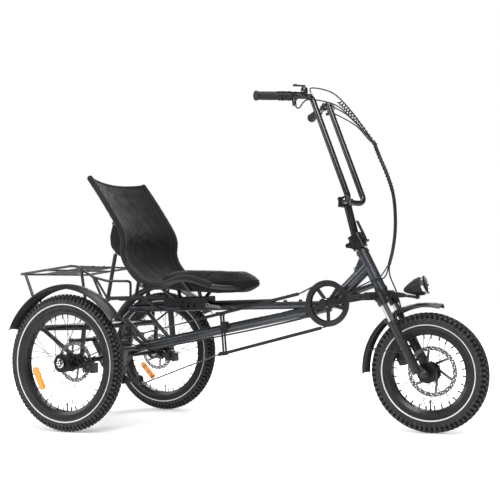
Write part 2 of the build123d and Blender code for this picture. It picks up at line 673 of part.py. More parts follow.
# front wheel
FRONT_Z = FRONT_TYRE_R
save(tyre(FRONT_TYRE_R, FRONT_X, FRONT_Z, 0), "front_tyre")
save(rim(FRONT_BEAD_R, FRONT_X, FRONT_Z, 0), "front_rim")
front_rods = spoke_rods(FRONT_SPOKES, SPOKE_HOLE_R, 24, FRONT_BEAD_R - 20, FRONT_X, FRONT_Z, 0)
with BuildPart() as front_spokes:
    for piece in front_rods:
        add(piece)
save(front_spokes.part, "front_spokes")

AXLE_R = 6
FRONT_ROTOR_Y = 39
with BuildPart() as front_hub:
    add(across(20, -36, 33, FRONT_X, FRONT_Z))
    add(across(27, 33, 38, FRONT_X, FRONT_Z))
    for y in (-27.5, 20.5):
        add(across(HUB_FLANGE_R, y, y + 7, FRONT_X, FRONT_Z))
    add(across(AXLE_R + RUNNING, -40, 50, FRONT_X, FRONT_Z), mode=Mode.SUBTRACT)
save(front_hub.part, "front_hub")
save(rotor(FRONT_ROTOR_R, FRONT_X, FRONT_Z, FRONT_ROTOR_Y, 12), "front_rotor")

# ---------------------------------------------------------------- fork
CROWN_T, CROWN_H = -90, 26
LOWER_TOP_T, LOWER_END_T = -202, -404
LAMP_PIVOT = (seat_x(1304), 478)
LAMP_ELBOW = (seat_x(1252), 486)
LAMP_TILT = 12
LAMP_CENTRE = (seat_x(1334), 520)

with BuildPart() as fork_crown:
    add(steer_tube(STEERER_R, CROWN_T, STEM_SPLIT_T - 4))
    with BuildSketch(steer_plane(LEG_A / 2, 0, CROWN_T - CROWN_H)):
        SlotOverall(2 * LEG_Y + 38, 42, rotation=90)
    extrude(amount=CROWN_H)
    for y in (-LEG_Y, LEG_Y):
        add(steer_tube(19, CROWN_T - 48, CROWN_T - 4, a=LEG_A, y=y))
    add(steer_tube(20, CROWN_T - 2, CROWN_T + 4))
    for y in (-LEG_Y, LEG_Y):
        add(steer_tube(STANCHION_R, -340, CROWN_T - 6, a=LEG_A, y=y), mode=Mode.SUBTRACT)
    # forked arms that carry the headlamp
    top, low = steer_point(17, 0, CROWN_T - 4), steer_point(17, 0, CROWN_T - 22)
    for y in (-14, 10):
        add(flat_bar((top[0], top[2]), (LAMP_ELBOW[0], LAMP_ELBOW[1] + 3), 10, y, y + 4))
        add(flat_bar((low[0], low[2]), (LAMP_ELBOW[0], LAMP_ELBOW[1] - 3), 10, y, y + 4))
        add(flat_bar(LAMP_ELBOW, LAMP_PIVOT, 9, y, y + 4))
    add(across(5, -14, 14, *LAMP_ELBOW))
    add(across(3, -14, 14, *LAMP_PIVOT))
save(fork_crown.part, "fork_crown")

with BuildPart() as stanchions:
    for y in (-LEG_Y, LEG_Y):
        add(steer_tube(STANCHION_R, -330, CROWN_T - 6, a=LEG_A, y=y))
save(stanchions.part, "stanchions")

ARCH_T = -218
with BuildPart() as fork_lowers:
    for y in (-LEG_Y, LEG_Y):
        add(steer_tube(LOWER_R, LOWER_END_T, LOWER_TOP_T, a=LEG_A, y=y))
        add(steer_tube(LOWER_R + 2.5, LOWER_TOP_T - 14, LOWER_TOP_T, a=LEG_A, y=y))
        # dropout that carries the axle ahead of the leg
        inner, outer = sorted((y - 6, y + 6))
        leg_end = steer_point(LEG_A + 2, 0, LOWER_END_T + 22)
        add(flat_bar((leg_end[0], leg_end[2]), (FRONT_X, FRONT_Z), 30, inner, outer))
    # brace that joins the legs behind the tyre
    arch_points = [steer_point(a, y, t) for a, y, t in (
        (-4, -LEG_Y, ARCH_T), (-20, 8 - LEG_Y, ARCH_T + 32),
        (-20, LEG_Y - 8, ARCH_T + 32), (-4, LEG_Y, ARCH_T),
    )]
    add(bent_bar(arch_points, 6, 10))
    # caliper posts on the left leg
    for t in (-300, -352):
        add(rod(steer_point(-12, LEG_Y, t), steer_point(-32, LEG_Y - 4, t), 6))
    for y in (-LEG_Y, LEG_Y):
        add(steer_tube(STANCHION_R + RUNNING, -372, CROWN_T, a=LEG_A, y=y), mode=Mode.SUBTRACT)
    add(across(AXLE_R, -LEG_Y - 20, LEG_Y + 20, FRONT_X, FRONT_Z), mode=Mode.SUBTRACT)
save(fork_lowers.part, "fork_lowers")

with BuildPart() as front_axle:
    add(across(AXLE_R, -LEG_Y - 14, LEG_Y + 14, FRONT_X, FRONT_Z))
    for y_from in (-LEG_Y - 15, LEG_Y + 6):
        with BuildSketch(left_facing(FRONT_X, y_from, FRONT_Z)):
            RegularPolygon(10, 6)
        extrude(amount=9)
save(front_axle.part, "front_axle")

with BuildPart() as front_caliper:
    centre = steer_point(-46, FRONT_ROTOR_Y, -326)
    c, s = cos(radians(HEAD_ANGLE)), sin(radians(HEAD_ANGLE))
    for gap_from, gap_to in ((-13, -1.6), (1.6, 17)):
        y_from, y_to = FRONT_ROTOR_Y + gap_from, FRONT_ROTOR_Y + gap_to
        with BuildSketch(Plane(origin=(centre[0], y_from, centre[2]), x_dir=(c, 0, s), z_dir=(0, 1, 0))):
            RectangleRounded(34, 56, 8)
        extrude(amount=y_to - y_from)
    bridge_origin = (centre[0], FRONT_ROTOR_Y - 13, centre[2])
    with BuildSketch(Plane(origin=bridge_origin, x_dir=(c, 0, s), z_dir=(0, 1, 0))):
        with Locations((-18, 0)):
            RectangleRounded(16, 48, 5)
    extrude(amount=30)
    low, high = FRONT_ROTOR_Y - 1.6, FRONT_ROTOR_Y + 1.6
    add(across(FRONT_ROTOR_R + 1.5, low, high, FRONT_X, FRONT_Z), mode=Mode.SUBTRACT)
save(front_caliper.part, "front_caliper")

STAY_REACH = 232
with BuildPart() as front_fender:
    add(fender(FRONT_X, FRONT_Z, FENDER_FRONT_R, 76, 181, half=34))
    for side in (-1, 1):
        # strap from the fork brace up to the guard, and a thin stay to its tail
        root = steer_point(LEG_A + 4, side * (LEG_Y - 18), ARCH_T - 4)
        tip, tail = (
            (FRONT_X + STAY_REACH * cos(turn), side * 33.5, FRONT_Z + STAY_REACH * sin(turn))
            for turn in (radians(116), radians(159))
        )
        add(rod(root, tip, 4))
        add(rod(steer_point(LEG_A, side * (LEG_Y + 16), -322), tail, 2.2))
save(front_fender.part, "front_fender")

# headlamp

lamp_axis = (cos(radians(LAMP_TILT)), 0, sin(radians(LAMP_TILT)))
lamp_plane = Plane(origin=(LAMP_CENTRE[0], 0, LAMP_CENTRE[1]), x_dir=(0, 1, 0), z_dir=lamp_axis)
with BuildPart() as headlamp:
    with BuildSketch(Plane(origin=lamp_plane.origin, x_dir=lamp_axis, z_dir=(0, 1, 0))):
        with BuildLine():
            Line((-82, 0), (0, 0))
            Line((0, 0), (0, 34))
            Line((0, 34), (-8, 34))
            Spline((-8, 34), (-34, 30), (-64, 16), (-82, 0), tangents=((-1, 0), (-0.4, -1)))
        make_face()
    revolve(axis=Axis(lamp_plane.origin, lamp_axis))
    # lens seat in the front face
    with BuildSketch(lamp_plane):
        Circle(30)
    extrude(amount=-9, mode=Mode.SUBTRACT)
    # stalk down to the tilt bolt
    add(rod((seat_x(1306), 0, 494), (LAMP_PIVOT[0], 0, LAMP_PIVOT[1]), 6))
    add(across(7, -9, 9, LAMP_PIVOT[0], LAMP_PIVOT[1]))
    add(across(3 + RUNNING, -10, 10, LAMP_PIVOT[0], LAMP_PIVOT[1]), mode=Mode.SUBTRACT)
save(headlamp.part, "headlamp")

with BuildPart() as headlamp_lens:
    with BuildSketch(lamp_plane.offset(-9)):
        Circle(30)
    extrude(amount=9)
    fillet(headlamp_lens.faces().sort_by(Axis.X)[-1].edges(), 3)
save(headlamp_lens.part, "headlamp_lens")

# ---------------------------------------------------------------- folding stem
PIN_A, PIN_R = -34, 4
BLOCK_W = 44
PIN_X, _, PIN_Z = steer_point(PIN_A, 0, STEM_SPLIT_T)
LATCH_X, _, LATCH_Z = steer_point(33, 0, STEM_SPLIT_T - 12)

with BuildPart() as stem_base:
    with BuildSketch(steer_plane(0, 0, 92)):
        RectangleRounded(50, BLOCK_W, 12)
    extrude(amount=STEM_SPLIT_T - 92 - 0.5)
    # outer knuckles round the hinge pin, and ears for the latch
    for y in (-BLOCK_W / 2, BLOCK_W / 2 - 11):
        add(across(9, y, y + 11, PIN_X, PIN_Z))
        ear = steer_point(-14, 0, STEM_SPLIT_T - 20)
        add(flat_bar((ear[0], ear[2]), (PIN_X, PIN_Z), 13, y, y + 11))
    for y in (-14, 8):
        ear = steer_point(20, 0, STEM_SPLIT_T - 12)
        add(flat_bar((ear[0], ear[2]), (LATCH_X, LATCH_Z), 12, y, y + 6))
    add(across(PIN_R, -BLOCK_W / 2, BLOCK_W / 2, PIN_X, PIN_Z))
    add(across(3, -14, 14, LATCH_X, LATCH_Z))
    add(steer_tube(STEERER_R, 91, STEM_SPLIT_T), mode=Mode.SUBTRACT)
save(stem_base.part, "stem_base")

# upper half of the folding joint, with the riser and the handlebar clamp
RISER_R = 14.5
with BuildPart() as stem_riser:
    with BuildSketch(steer_plane(0, 0, STEM_SPLIT_T + 0.5)):
        RectangleRounded(50, BLOCK_W, 12)
    extrude(amount=26)
    add(rod(steer_point(0, 0, STEM_SPLIT_T + 14), BAR_CLAMP, RISER_R))
    # middle knuckle on the hinge pin
    ear = steer_point(-14, 0, STEM_SPLIT_T + 16)
    add(across(9, -10.5, 10.5, PIN_X, PIN_Z))
    add(flat_bar((ear[0], ear[2]), (PIN_X, PIN_Z), 10, -10.5, 10.5))
    add(across(21, -20, 20, BAR_CLAMP[0], BAR_CLAMP[2]))
    with BuildSketch(left_facing(BAR_CLAMP[0] - 19, -20, BAR_CLAMP[2])):
        RectangleRounded(14, 38, 3)
    extrude(amount=40)
    # catch that the latch pulls down on
    catch = steer_point(24, 0, STEM_SPLIT_T + 12)
    add(rod(steer_point(10, 0, STEM_SPLIT_T + 12), catch, 5))
    add(across(PIN_R + RUNNING, -12, 12, PIN_X, PIN_Z), mode=Mode.SUBTRACT)
    # room for the outer knuckles to turn in
    for y in (-BLOCK_W / 2 - 1, BLOCK_W / 2 - 11.4):
        add(across(9.6, y, y + 12.4, PIN_X, PIN_Z), mode=Mode.SUBTRACT)
    add(across(BAR_R, -21, 21, BAR_CLAMP[0], BAR_CLAMP[2]), mode=Mode.SUBTRACT)
save(stem_riser.part, "stem_riser")

LATCH_TIP = steer_point(34, 0, STEM_SPLIT_T + 68)
latch_run = Vector(*LATCH_TIP) - Vector(LATCH_X, 0, LATCH_Z)
with BuildPart() as stem_latch:
    add(across(7, -7.5, 7.5, LATCH_X, LATCH_Z))
    with BuildSketch(Plane(origin=(LATCH_X, 0, LATCH_Z), z_dir=latch_run)):
        RectangleRounded(8, 15, 3)
    with BuildSketch(Plane(origin=LATCH_TIP, z_dir=latch_run)):
        RectangleRounded(5, 22, 2)
    loft()
    add(across(3 + RUNNING, -8, 8, LATCH_X, LATCH_Z), mode=Mode.SUBTRACT)
save(stem_latch.part, "stem_latch")

# ---------------------------------------------------------------- handlebar and controls
bar_points = [
    GRIP_END, BAR_HIGH, BAR_LOW, (BAR_CLAMP[0], 26, BAR_CLAMP[2]),
    (BAR_CLAMP[0], -26, BAR_CLAMP[2]), *[(x, -y, z) for x, y, z in (BAR_LOW, BAR_HIGH, GRIP_END)],
]
with BuildPart() as handlebar:
    add(bent_bar(bar_points, BAR_R, 22, bore=BAR_R - 2.2))
save(handlebar.part, "handlebar")


def grip_plane(side, up=0.0):
    """Plane along one grip: x runs inward from the bar end, y runs across it, z is up."""
    end, corner = (Vector(x, side * y, z) for x, y, z in (GRIP_END, BAR_HIGH))
    run = (corner - end).normalized()
    lift = (Vector(0, 0, 1) - run * run.Z).normalized()
    return Plane(origin=end + lift * up, x_dir=run, z_dir=lift)


def grip_point(side, inward, ahead=0.0, up=0.0):
    """Point measured inward from the bar end along the grip, then ahead of and above its axis."""
    place = grip_plane(side, up).from_local_coords((inward, side * ahead, 0))
    return (place.X, place.Y, place.Z)


def grip_sleeve(side, start, end, radius, bore=BAR_R):
    """Sleeve round the bar between two distances from its end."""
    return rod(grip_point(side, start), grip_point(side, end), radius, bore)


def grip_link(side, start, end, width, up_from, up_to):
    """Flat link with round ends between two (inward, ahead) places, lying square to the up direction."""
    run = Vector(end[0] - start[0], side * (end[1] - start[1]))
    angle = degrees(atan2(run.Y, run.X))
    middle = ((start[0] + end[0]) / 2, side * (start[1] + end[1]) / 2, 0)
    with BuildPart() as piece:
        with BuildSketch(grip_plane(side, up_from)):
            with Locations(Location(middle, (0, 0, angle))):
                SlotCenterToCenter(run.length, width)
        extrude(amount=up_to - up_from)
    return piece.part


GRIP_LENGTH, GRIP_R = 98, 16
with BuildPart() as grips:
    for side in (-1, 1):
        add(grip_sleeve(side, 0, GRIP_LENGTH, GRIP_R))
        add(grip_sleeve(side, 0, 8, GRIP_R + 2))
        add(rod(grip_point(side, -5), grip_point(side, 0), GRIP_R))
save(grips.part, "grips")

TWIST_FROM, TWIST_TO = 101, 138
with BuildPart() as twist_shifter:
    add(grip_sleeve(-1, TWIST_FROM, TWIST_TO, 17.5, bore=BAR_R + RUNNING))
    fillet(twist_shifter.edges().filter_by(GeomType.CIRCLE).filter_by(lambda e: e.radius > 17), 1.5)
save(twist_shifter.part, "twist_shifter")

LEVER_PIVOT = (176, 28)
LEVER_PIN_R = 3
BELL_IN, BELL_UP = 196, 36
with BuildPart() as lever_clamps:
    for side in (-1, 1):
        inward, ahead = LEVER_PIVOT
        add(grip_sleeve(side, inward - 8, inward + 8, 15.5, bore=0))
        # clevis round the lever's pin
        for up_from, up_to in ((-10, -6), (6, 10)):
            add(grip_link(side, (inward, 8), LEVER_PIVOT, 15, up_from, up_to))
        add(rod(grip_point(side, *LEVER_PIVOT, -9), grip_point(side, *LEVER_PIVOT, 9), LEVER_PIN_R))
        # cable adjuster pointing at the middle of the bar
        add(rod(grip_point(side, inward + 2, 8), grip_point(side, inward + 36, 18), 5))
    # shifter housing beside the twist ring, with its cable outlet underneath
    add(grip_sleeve(-1, TWIST_TO + 1, TWIST_TO + 24, 16.5, bore=0))
    add(rod(grip_point(-1, TWIST_TO + 12, 2, -10), grip_point(-1, TWIST_TO + 10, 8, -36), 8))
    # bell housing on the right side and its striker post
    add(grip_sleeve(-1, BELL_IN - 5, BELL_IN + 5, 14.5, bore=0))
    add(rod(grip_point(-1, BELL_IN, 0, 8), grip_point(-1, BELL_IN, 0, BELL_UP - 1), 12))
    add(rod(grip_point(-1, BELL_IN, 0, BELL_UP - 2), grip_point(-1, BELL_IN, 0, BELL_UP + 5), 3))
    for side in (-1, 1):
        add(grip_sleeve(side, 100, 206, BAR_R, bore=0), mode=Mode.SUBTRACT)
save(lever_clamps.part, "lever_clamps")

for side, name in ((-1, "right"), (1, "left")):
    with BuildPart() as lever:
        add(grip_link(side, LEVER_PIVOT, (146, 47), 12, -4, 4))
        add(grip_link(side, (146, 47), (100, 52), 9, -4, 4))
        add(grip_link(side, (100, 52), (64, 47), 9, -4, 4))
        add(rod(grip_point(side, 64, 47, -4.5), grip_point(side, 64, 47, 4.5), 6.5))
        add(rod(grip_point(side, *LEVER_PIVOT, -5.7), grip_point(side, *LEVER_PIVOT, 5.7), 8))
        bore_from, bore_to = (grip_point(side, *LEVER_PIVOT, up) for up in (-6, 6))
        add(rod(bore_from, bore_to, LEVER_PIN_R + RUNNING), mode=Mode.SUBTRACT)
    save(lever.part, f"brake_lever_{name}")

with BuildPart() as bell_striker:
    add(grip_link(-1, (BELL_IN, 0), (158, 4), 11, BELL_UP, BELL_UP + 4))
    add(rod(grip_point(-1, 158, 4, BELL_UP), grip_point(-1, 158, 4, BELL_UP + 6), 8))
    post_from, post_to = (grip_point(-1, BELL_IN, 0, BELL_UP + shift) for shift in (-4, 8))
    add(rod(post_from, post_to, 3 + RUNNING), mode=Mode.SUBTRACT)
save(bell_striker.part, "bell_striker")

# brake and gear cables gathered into a sleeve ahead of the stem
SLEEVE_TOP = (seat_x(1146), -6, 985)
sleeve_points = [
    SLEEVE_TOP, (seat_x(1192), 0, 905), (seat_x(1214), 4, 800),
    (seat_x(1206), 6, 700), (seat_x(1196), 6, 618),
]
cable_starts = [
    [grip_point(-1, LEVER_PIVOT[0] + 38, 19), (seat_x(1052), -74, 1218), (seat_x(1104), -40, 1110)],
    [grip_point(1, LEVER_PIVOT[0] + 38, 19), (seat_x(1060), 70, 1200), (seat_x(1108), 34, 1100)],
]
with BuildPart() as control_cables:
    with BuildLine() as sleeve_path:
        Spline(*sleeve_points)
    with BuildSketch(Plane(origin=sleeve_path.wire() @ 0, z_dir=sleeve_path.wire() % 0)):
        Circle(7)
    sweep(path=sleeve_path.wire())
    for points in cable_starts:
        with BuildLine() as cable_path:
            Spline(*points, (seat_x(1140), -6, 996))
        with BuildSketch(Plane(origin=cable_path.wire() @ 0, z_dir=cable_path.wire() % 0)):
            Circle(3)
        sweep(path=cable_path.wire())
save(control_cables.part, "control_cables")

# ---------------------------------------------------------------- crankset
GUARD_Y = CHAIN_Y - 8.5
with BuildPart() as chainring:
    add(toothed_disc(RING_TEETH, CHAIN_Y, BB_X, BB_Z, RING_R - 12))
    with BuildSketch(left_facing(BB_X, CHAIN_Y - 1, BB_Z)):
        Circle(RING_R - 8)
        Circle(RING_R - 18, mode=Mode.SUBTRACT)
        Circle(20)
        with PolarLocations(38, 5, start_angle=18):
            Rectangle(58, 14)
        Circle(12, mode=Mode.SUBTRACT)
    extrude(amount=2)
    # outer guard ring
    with BuildSketch(left_facing(BB_X, GUARD_Y, BB_Z)):
        Circle(RING_R + 5)
        Circle(RING_R - 14, mode=Mode.SUBTRACT)
    extrude(amount=3)
    # spacers that carry the guard
    with BuildSketch(left_facing(BB_X, GUARD_Y, BB_Z)):
        with PolarLocations(RING_R - 12, 5, start_angle=18):
            Circle(4)
    extrude(amount=8)
save(chainring.part, "chainring")

CRANK_IN, CRANK_OUT = 85, 97
turn = radians(CRANK_RISE)
PEDAL_PLACES = {
    side: (BB_X - side * CRANK_LENGTH * cos(turn), BB_Z - side * CRANK_LENGTH * sin(turn))
    for side in (-1, 1)
}
PEDAL_PIN_R = 4.5
with BuildPart() as crank_arms:
    add(across(SPINDLE_R, -CRANK_OUT, CRANK_OUT, BB_X, BB_Z))
    add(across(12, -CRANK_IN, -BB_SHELL_HALF - 4.5, BB_X, BB_Z))
    for side in (-1, 1):
        low, high = sorted((side * CRANK_IN, side * CRANK_OUT))
        px, pz = PEDAL_PLACES[side]
        with BuildSketch(left_facing(0, low, 0)):
            with Locations((BB_X, BB_Z * -1)):
                Circle(18)
            with Locations((px, -pz)):
                Circle(13)
            with Locations(Location(((BB_X + px) / 2, -(BB_Z + pz) / 2, 0), (0, 0, CRANK_RISE * -1))):
                Trapezoid(24, CRANK_LENGTH, 90, rotation=90)
        extrude(amount=high - low)
        pin_low, pin_high = sorted((side * (CRANK_OUT - 2), side * (PEDAL_Y + 38)))
        add(across(PEDAL_PIN_R, pin_low, pin_high, px, pz))
    chamfer(crank_arms.faces().filter_by(Plane.XZ).sort_by(Axis.Y)[0].edges(), 0.8)
save(crank_arms.part, "crank_arms")

for side, name in ((-1, "right"), (1, "left")):
    px, pz = PEDAL_PLACES[side]
    low = side * PEDAL_Y - 40
    with BuildPart() as pedal:
        # long tread blocks front and rear, joined by end plates and the axle barrel
        for x_shift in (-32, 32):
            with BuildSketch(Plane(origin=(px + x_shift, side * PEDAL_Y, pz - 13), z_dir=(0, 0, 1))):
                RectangleRounded(22, 78, 5)
            extrude(amount=26)
        for y in (low, low + 74):
            with BuildSketch(left_facing(px, y, pz)):
                RectangleRounded(66, 18, 4)
            extrude(amount=6)
        add(across(10, low, low + 80, px, pz))
        add(across(PEDAL_PIN_R + RUNNING, low - 1, low + 81, px, pz), mode=Mode.SUBTRACT)
    save(pedal.part, f"pedal_{name}")

# ---------------------------------------------------------------- seat
PAN_Z = 546
SEAT_EDGE = (
    (256, 170, 548), (300, 172, 547), (345, 179, 550), (390, 183, 564),
    (430, 180, 573), (480, 168, 566), (535, 140, 545), (598, 72, 535),
)
SEAT_NOSE = (seat_x(624), 0, 533)
SEAT_TUBE_R, EAR_Y = 9.5, 172
SLIDER_FROM, SLIDER_TO = seat_x(250), seat_x(460)
SLIDER_HALF = 28
FOOT_R, CROSSBAR_R, PIN = 4, 8, 4
BACK_TOP = (seat_x(17), 1004)
BACK_PROFILE = [BACK_TOP] + [
    (seat_x(x), z)
    for x, z in ((84, 904), (150, 802), (173, 742), (169, 692), (180, 655), (206, 618), (240, 585))
]

with BuildPart() as seat_frame:
    # slider that wraps the rail
    with BuildSketch(Plane(origin=(SLIDER_FROM, 0, RAIL_TOP), x_dir=(0, 1, 0), z_dir=(1, 0, 0))):
        with Locations((0, 3)):
            RectangleRounded(2 * SLIDER_HALF, 34, 5)
        with Locations((0, -RAIL_THICK / 2)):
            Rectangle(2 * RAIL_LIP + 1, RAIL_THICK + 1, mode=Mode.SUBTRACT)
        with Locations((0, -20)):
            Rectangle(2 * RAIL_LIP - 4, 40, mode=Mode.SUBTRACT)
    extrude(amount=SLIDER_TO - SLIDER_FROM)
    # slotted angle plates on both sides of the slider
    for y in (-SLIDER_HALF - 4, SLIDER_HALF):
        with BuildSketch(Plane(origin=(seat_x(370), y + 4, 474), x_dir=(1, 0, 0), z_dir=(0, -1, 0))):
            with BuildLine():
                Polyline((-70, 26), (78, 26), (104, -8), (92, -20), (-34, -20), (-62, 4), close=True)
            make_face()
            with Locations((-30, 2), (0, 2), (30, 2)):
                SlotOverall(26, 9, rotation=62, mode=Mode.SUBTRACT)
            with Locations((62, 6), (62, -8), (-52, 12)):
                Circle(3.5, mode=Mode.SUBTRACT)
        extrude(amount=4)
    # edge tube that rises over the thighs and closes round the nose
    with BuildLine() as edge_path:
        Spline(
            *[(seat_x(x), -y, z) for x, y, z in SEAT_EDGE], SEAT_NOSE,
            *[(seat_x(x), y, z) for x, y, z in reversed(SEAT_EDGE)],
        )
    with BuildSketch(Plane(origin=edge_path.wire() @ 0, z_dir=edge_path.wire() % 0)):
        Circle(SEAT_TUBE_R)
    sweep(path=edge_path.wire())
    # rear and middle cross tubes
    add(rod((seat_x(262), -EAR_Y, PAN_Z), (seat_x(262), EAR_Y, PAN_Z), 8))
    dip = [
        (seat_x(430), -176, 570), (seat_x(430), -120, 532),
        (seat_x(430), 120, 532), (seat_x(430), 176, 570),
    ]
    add(bent_bar(dip, 7, 20))
    for side in (-1, 1):
        add(rod((seat_x(298), side * 20, 500), (seat_x(262), side * 66, PAN_Z), 7.2))
        add(rod((seat_x(420), side * 20, 500), (seat_x(431), side * 50, 532), 7.6))
        # hinge ear and pin for the backrest
        low, high = sorted((side * (EAR_Y - 5), side * (EAR_Y + 2)))
        add(flat_bar((seat_x(262), PAN_Z), (HINGE_X, HINGE_Z), 24, low, high))
        low, high = sorted((side * 170, side * (POLE_Y + 12)))
        add(across(PIN, low, high, HINGE_X, HINGE_Z))
    # rear foot that carries the backrest struts
    foot_z = STRUT_FOOT[1]
    foot = [
        (seat_x(262), -22, foot_z), (STRUT_FOOT[0], -22, foot_z),
        (STRUT_FOOT[0], 22, foot_z), (seat_x(262), 22, foot_z),
    ]
    add(bent_bar(foot, 8, 14))
    add(across(FOOT_R, -STRUT_Y - 10, STRUT_Y + 10, *STRUT_FOOT))
    # post for the clamp lever
    add(across(5, -SLIDER_HALF - 10, -SLIDER_HALF - 1, seat_x(462), 470))
save(seat_frame.part, "seat_frame")

CLAMP_PIVOT = (seat_x(462), 470)
with BuildPart() as seat_clamp_lever:
    y_from = -SLIDER_HALF - 11
    add(across(9, y_from, y_from + 6, *CLAMP_PIVOT))
    add(flat_bar(CLAMP_PIVOT, (seat_x(514), 462), 11, y_from, y_from + 4))
    add(across(5 + RUNNING, y_from - 1, y_from + 10, *CLAMP_PIVOT), mode=Mode.SUBTRACT)
save(seat_clamp_lever.part, "seat_clamp_lever")

CUSHION_BASE, CUSHION_TOP = 522, 605
with BuildPart() as seat_cushion:
    with BuildSketch(Plane.XY.offset(CUSHION_BASE)):
        with BuildLine():
            Line((seat_x(286), -140), (seat_x(286), 140))
            for side in (-1, 1):
                edge = [(286, 140), (330, 168), (430, 164), (510, 130), (590, 90)]
                Spline(*[(seat_x(x), side * y) for x, y in edge], tangents=((0.2, side), (1, -0.35 * side)))
                ThreePointArc(
                    (seat_x(590), side * 90), (seat_x(656), side * 58), (seat_x(682), 0),
                )
        make_face()
    extrude(amount=CUSHION_TOP - CUSHION_BASE)
save(seat_cushion.part, "seat_cushion")


def back_path(y, *more):
    """Side profile of the backrest at a distance from the centre plane, with further points at its foot."""
    with BuildLine() as path:
        Spline(*[(x, y, z) for x, z in [*BACK_PROFILE, *more]])
    return path.wire()


with BuildPart() as backrest_frame:
    for side in (-1, 1):
        path = back_path(side * POLE_Y, (HINGE_X, HINGE_Z))
        with BuildSketch(Plane(origin=path @ 0, z_dir=path % 0)):
            Circle(POLE_R)
        sweep(path=path)
        low, high = sorted((side * (POLE_Y - 10), side * (POLE_Y + 10)))
        add(across(11, low, high, HINGE_X, HINGE_Z))
    # bowed cross tube that the struts push against, clear of the mesh
    bow = [
        (seat_x(144), -POLE_Y, 812), (STRUT_TOP[0], -POLE_Y + 42, 812),
        (STRUT_TOP[0], POLE_Y - 42, 812), (seat_x(144), POLE_Y, 812),
    ]
    add(bent_bar(bow, CROSSBAR_R, 20))
    for side in (-1, 1):
        low, high = sorted((side * 170, side * (POLE_Y + 14)))
        add(across(PIN + RUNNING, low, high, HINGE_X, HINGE_Z), mode=Mode.SUBTRACT)
save(backrest_frame.part, "backrest_frame")

SAG, SHEET_T, SLEEVE_R = 24, 5, 13
with BuildPart() as backrest_mesh:
    path = back_path(0)
    with BuildSketch(Plane(origin=path @ 0, x_dir=(0, 1, 0), z_dir=path % 0)):
        with BuildLine():
            half = POLE_Y - POLE_R + 1
            ThreePointArc((-half, SHEET_T / 2), (0, SHEET_T / 2 - SAG), (half, SHEET_T / 2))
            Line((half, SHEET_T / 2), (half, -SHEET_T / 2))
            ThreePointArc((half, -SHEET_T / 2), (0, -SHEET_T / 2 - SAG), (-half, -SHEET_T / 2))
            Line((-half, -SHEET_T / 2), (-half, SHEET_T / 2))
        make_face()
    sweep(path=path)
    # hems that wrap the two poles
    for side in (-1, 1):
        path = back_path(side * POLE_Y)
        with BuildSketch(Plane(origin=path @ 0, z_dir=path % 0)):
            Circle(SLEEVE_R)
        sweep(path=path)
    for side in (-1, 1):
        path = back_path(side * POLE_Y, (HINGE_X, HINGE_Z))
        with BuildSketch(Plane(origin=path @ 0, z_dir=path % 0)):
            Circle(POLE_R + 0.1)
        sweep(path=path, mode=Mode.SUBTRACT)
    add(rod((seat_x(144), -POLE_Y, 812), (STRUT_TOP[0], -POLE_Y + 42, 812), 12), mode=Mode.SUBTRACT)
    add(rod((seat_x(144), POLE_Y, 812), (STRUT_TOP[0], POLE_Y - 42, 812), 12), mode=Mode.SUBTRACT)
save(backrest_mesh.part, "backrest_mesh")

# telescopic struts: lower tubes on the seat foot, upper rods on the bowed tube
strut_run = Vector(STRUT_TOP[0] - STRUT_FOOT[0], 0, STRUT_TOP[1] - STRUT_FOOT[1])
strut_dir = strut_run.normalized()


def strut_point(reach, y):
    """Point on a strut's axis, a distance above its foot."""
    return (STRUT_FOOT[0] + strut_dir.X * reach, y, STRUT_FOOT[1] + strut_dir.Z * reach)


with BuildPart() as strut_tubes:
    for y in (-STRUT_Y, STRUT_Y):
        add(across(9, y - 6, y + 6, *STRUT_FOOT))
        add(rod(strut_point(5, y), strut_point(190, y), 8))
        add(across(FOOT_R + RUNNING, y - 7, y + 7, *STRUT_FOOT), mode=Mode.SUBTRACT)
        add(rod(strut_point(12, y), strut_point(191, y), 6.2), mode=Mode.SUBTRACT)
save(strut_tubes.part, "strut_tubes")

with BuildPart() as strut_rods:
    for y in (-STRUT_Y, STRUT_Y):
        add(across(12, y - 6, y + 6, *STRUT_TOP))
        add(rod(strut_point(64, y), strut_point(strut_run.length - 5, y), 4))
        add(across(CROSSBAR_R + RUNNING, y - 7, y + 7, *STRUT_TOP), mode=Mode.SUBTRACT)
save(strut_rods.part, "strut_rods")
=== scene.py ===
"""Adult tricycle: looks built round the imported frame. Metres, +X forward, +Y to the rider's left, +Z up."""
import math
import random

import bmesh
import bpy
import numpy as np
from mathutils import Matrix, Vector, noise
from mathutils.bvhtree import BVHTree


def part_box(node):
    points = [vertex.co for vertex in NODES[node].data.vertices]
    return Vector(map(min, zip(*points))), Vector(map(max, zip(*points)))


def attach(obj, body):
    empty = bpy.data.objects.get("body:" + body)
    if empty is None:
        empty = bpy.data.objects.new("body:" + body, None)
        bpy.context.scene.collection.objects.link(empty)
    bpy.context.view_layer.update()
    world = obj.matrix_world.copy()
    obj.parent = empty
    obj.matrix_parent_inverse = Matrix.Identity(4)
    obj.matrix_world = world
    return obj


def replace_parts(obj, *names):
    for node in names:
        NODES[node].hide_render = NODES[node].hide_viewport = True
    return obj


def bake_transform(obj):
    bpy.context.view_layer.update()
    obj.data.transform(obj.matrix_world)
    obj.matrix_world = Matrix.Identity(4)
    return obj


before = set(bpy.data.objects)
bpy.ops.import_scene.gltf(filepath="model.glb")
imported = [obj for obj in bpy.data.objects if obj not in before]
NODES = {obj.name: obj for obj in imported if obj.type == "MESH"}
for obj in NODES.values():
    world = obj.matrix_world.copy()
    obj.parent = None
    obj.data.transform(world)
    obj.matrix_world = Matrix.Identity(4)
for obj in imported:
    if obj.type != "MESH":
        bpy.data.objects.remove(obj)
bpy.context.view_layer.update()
MM = 0.001
UP, ACROSS, AHEAD = Vector((0, 0, 1)), Vector((0, 1, 0)), Vector((1, 0, 0))


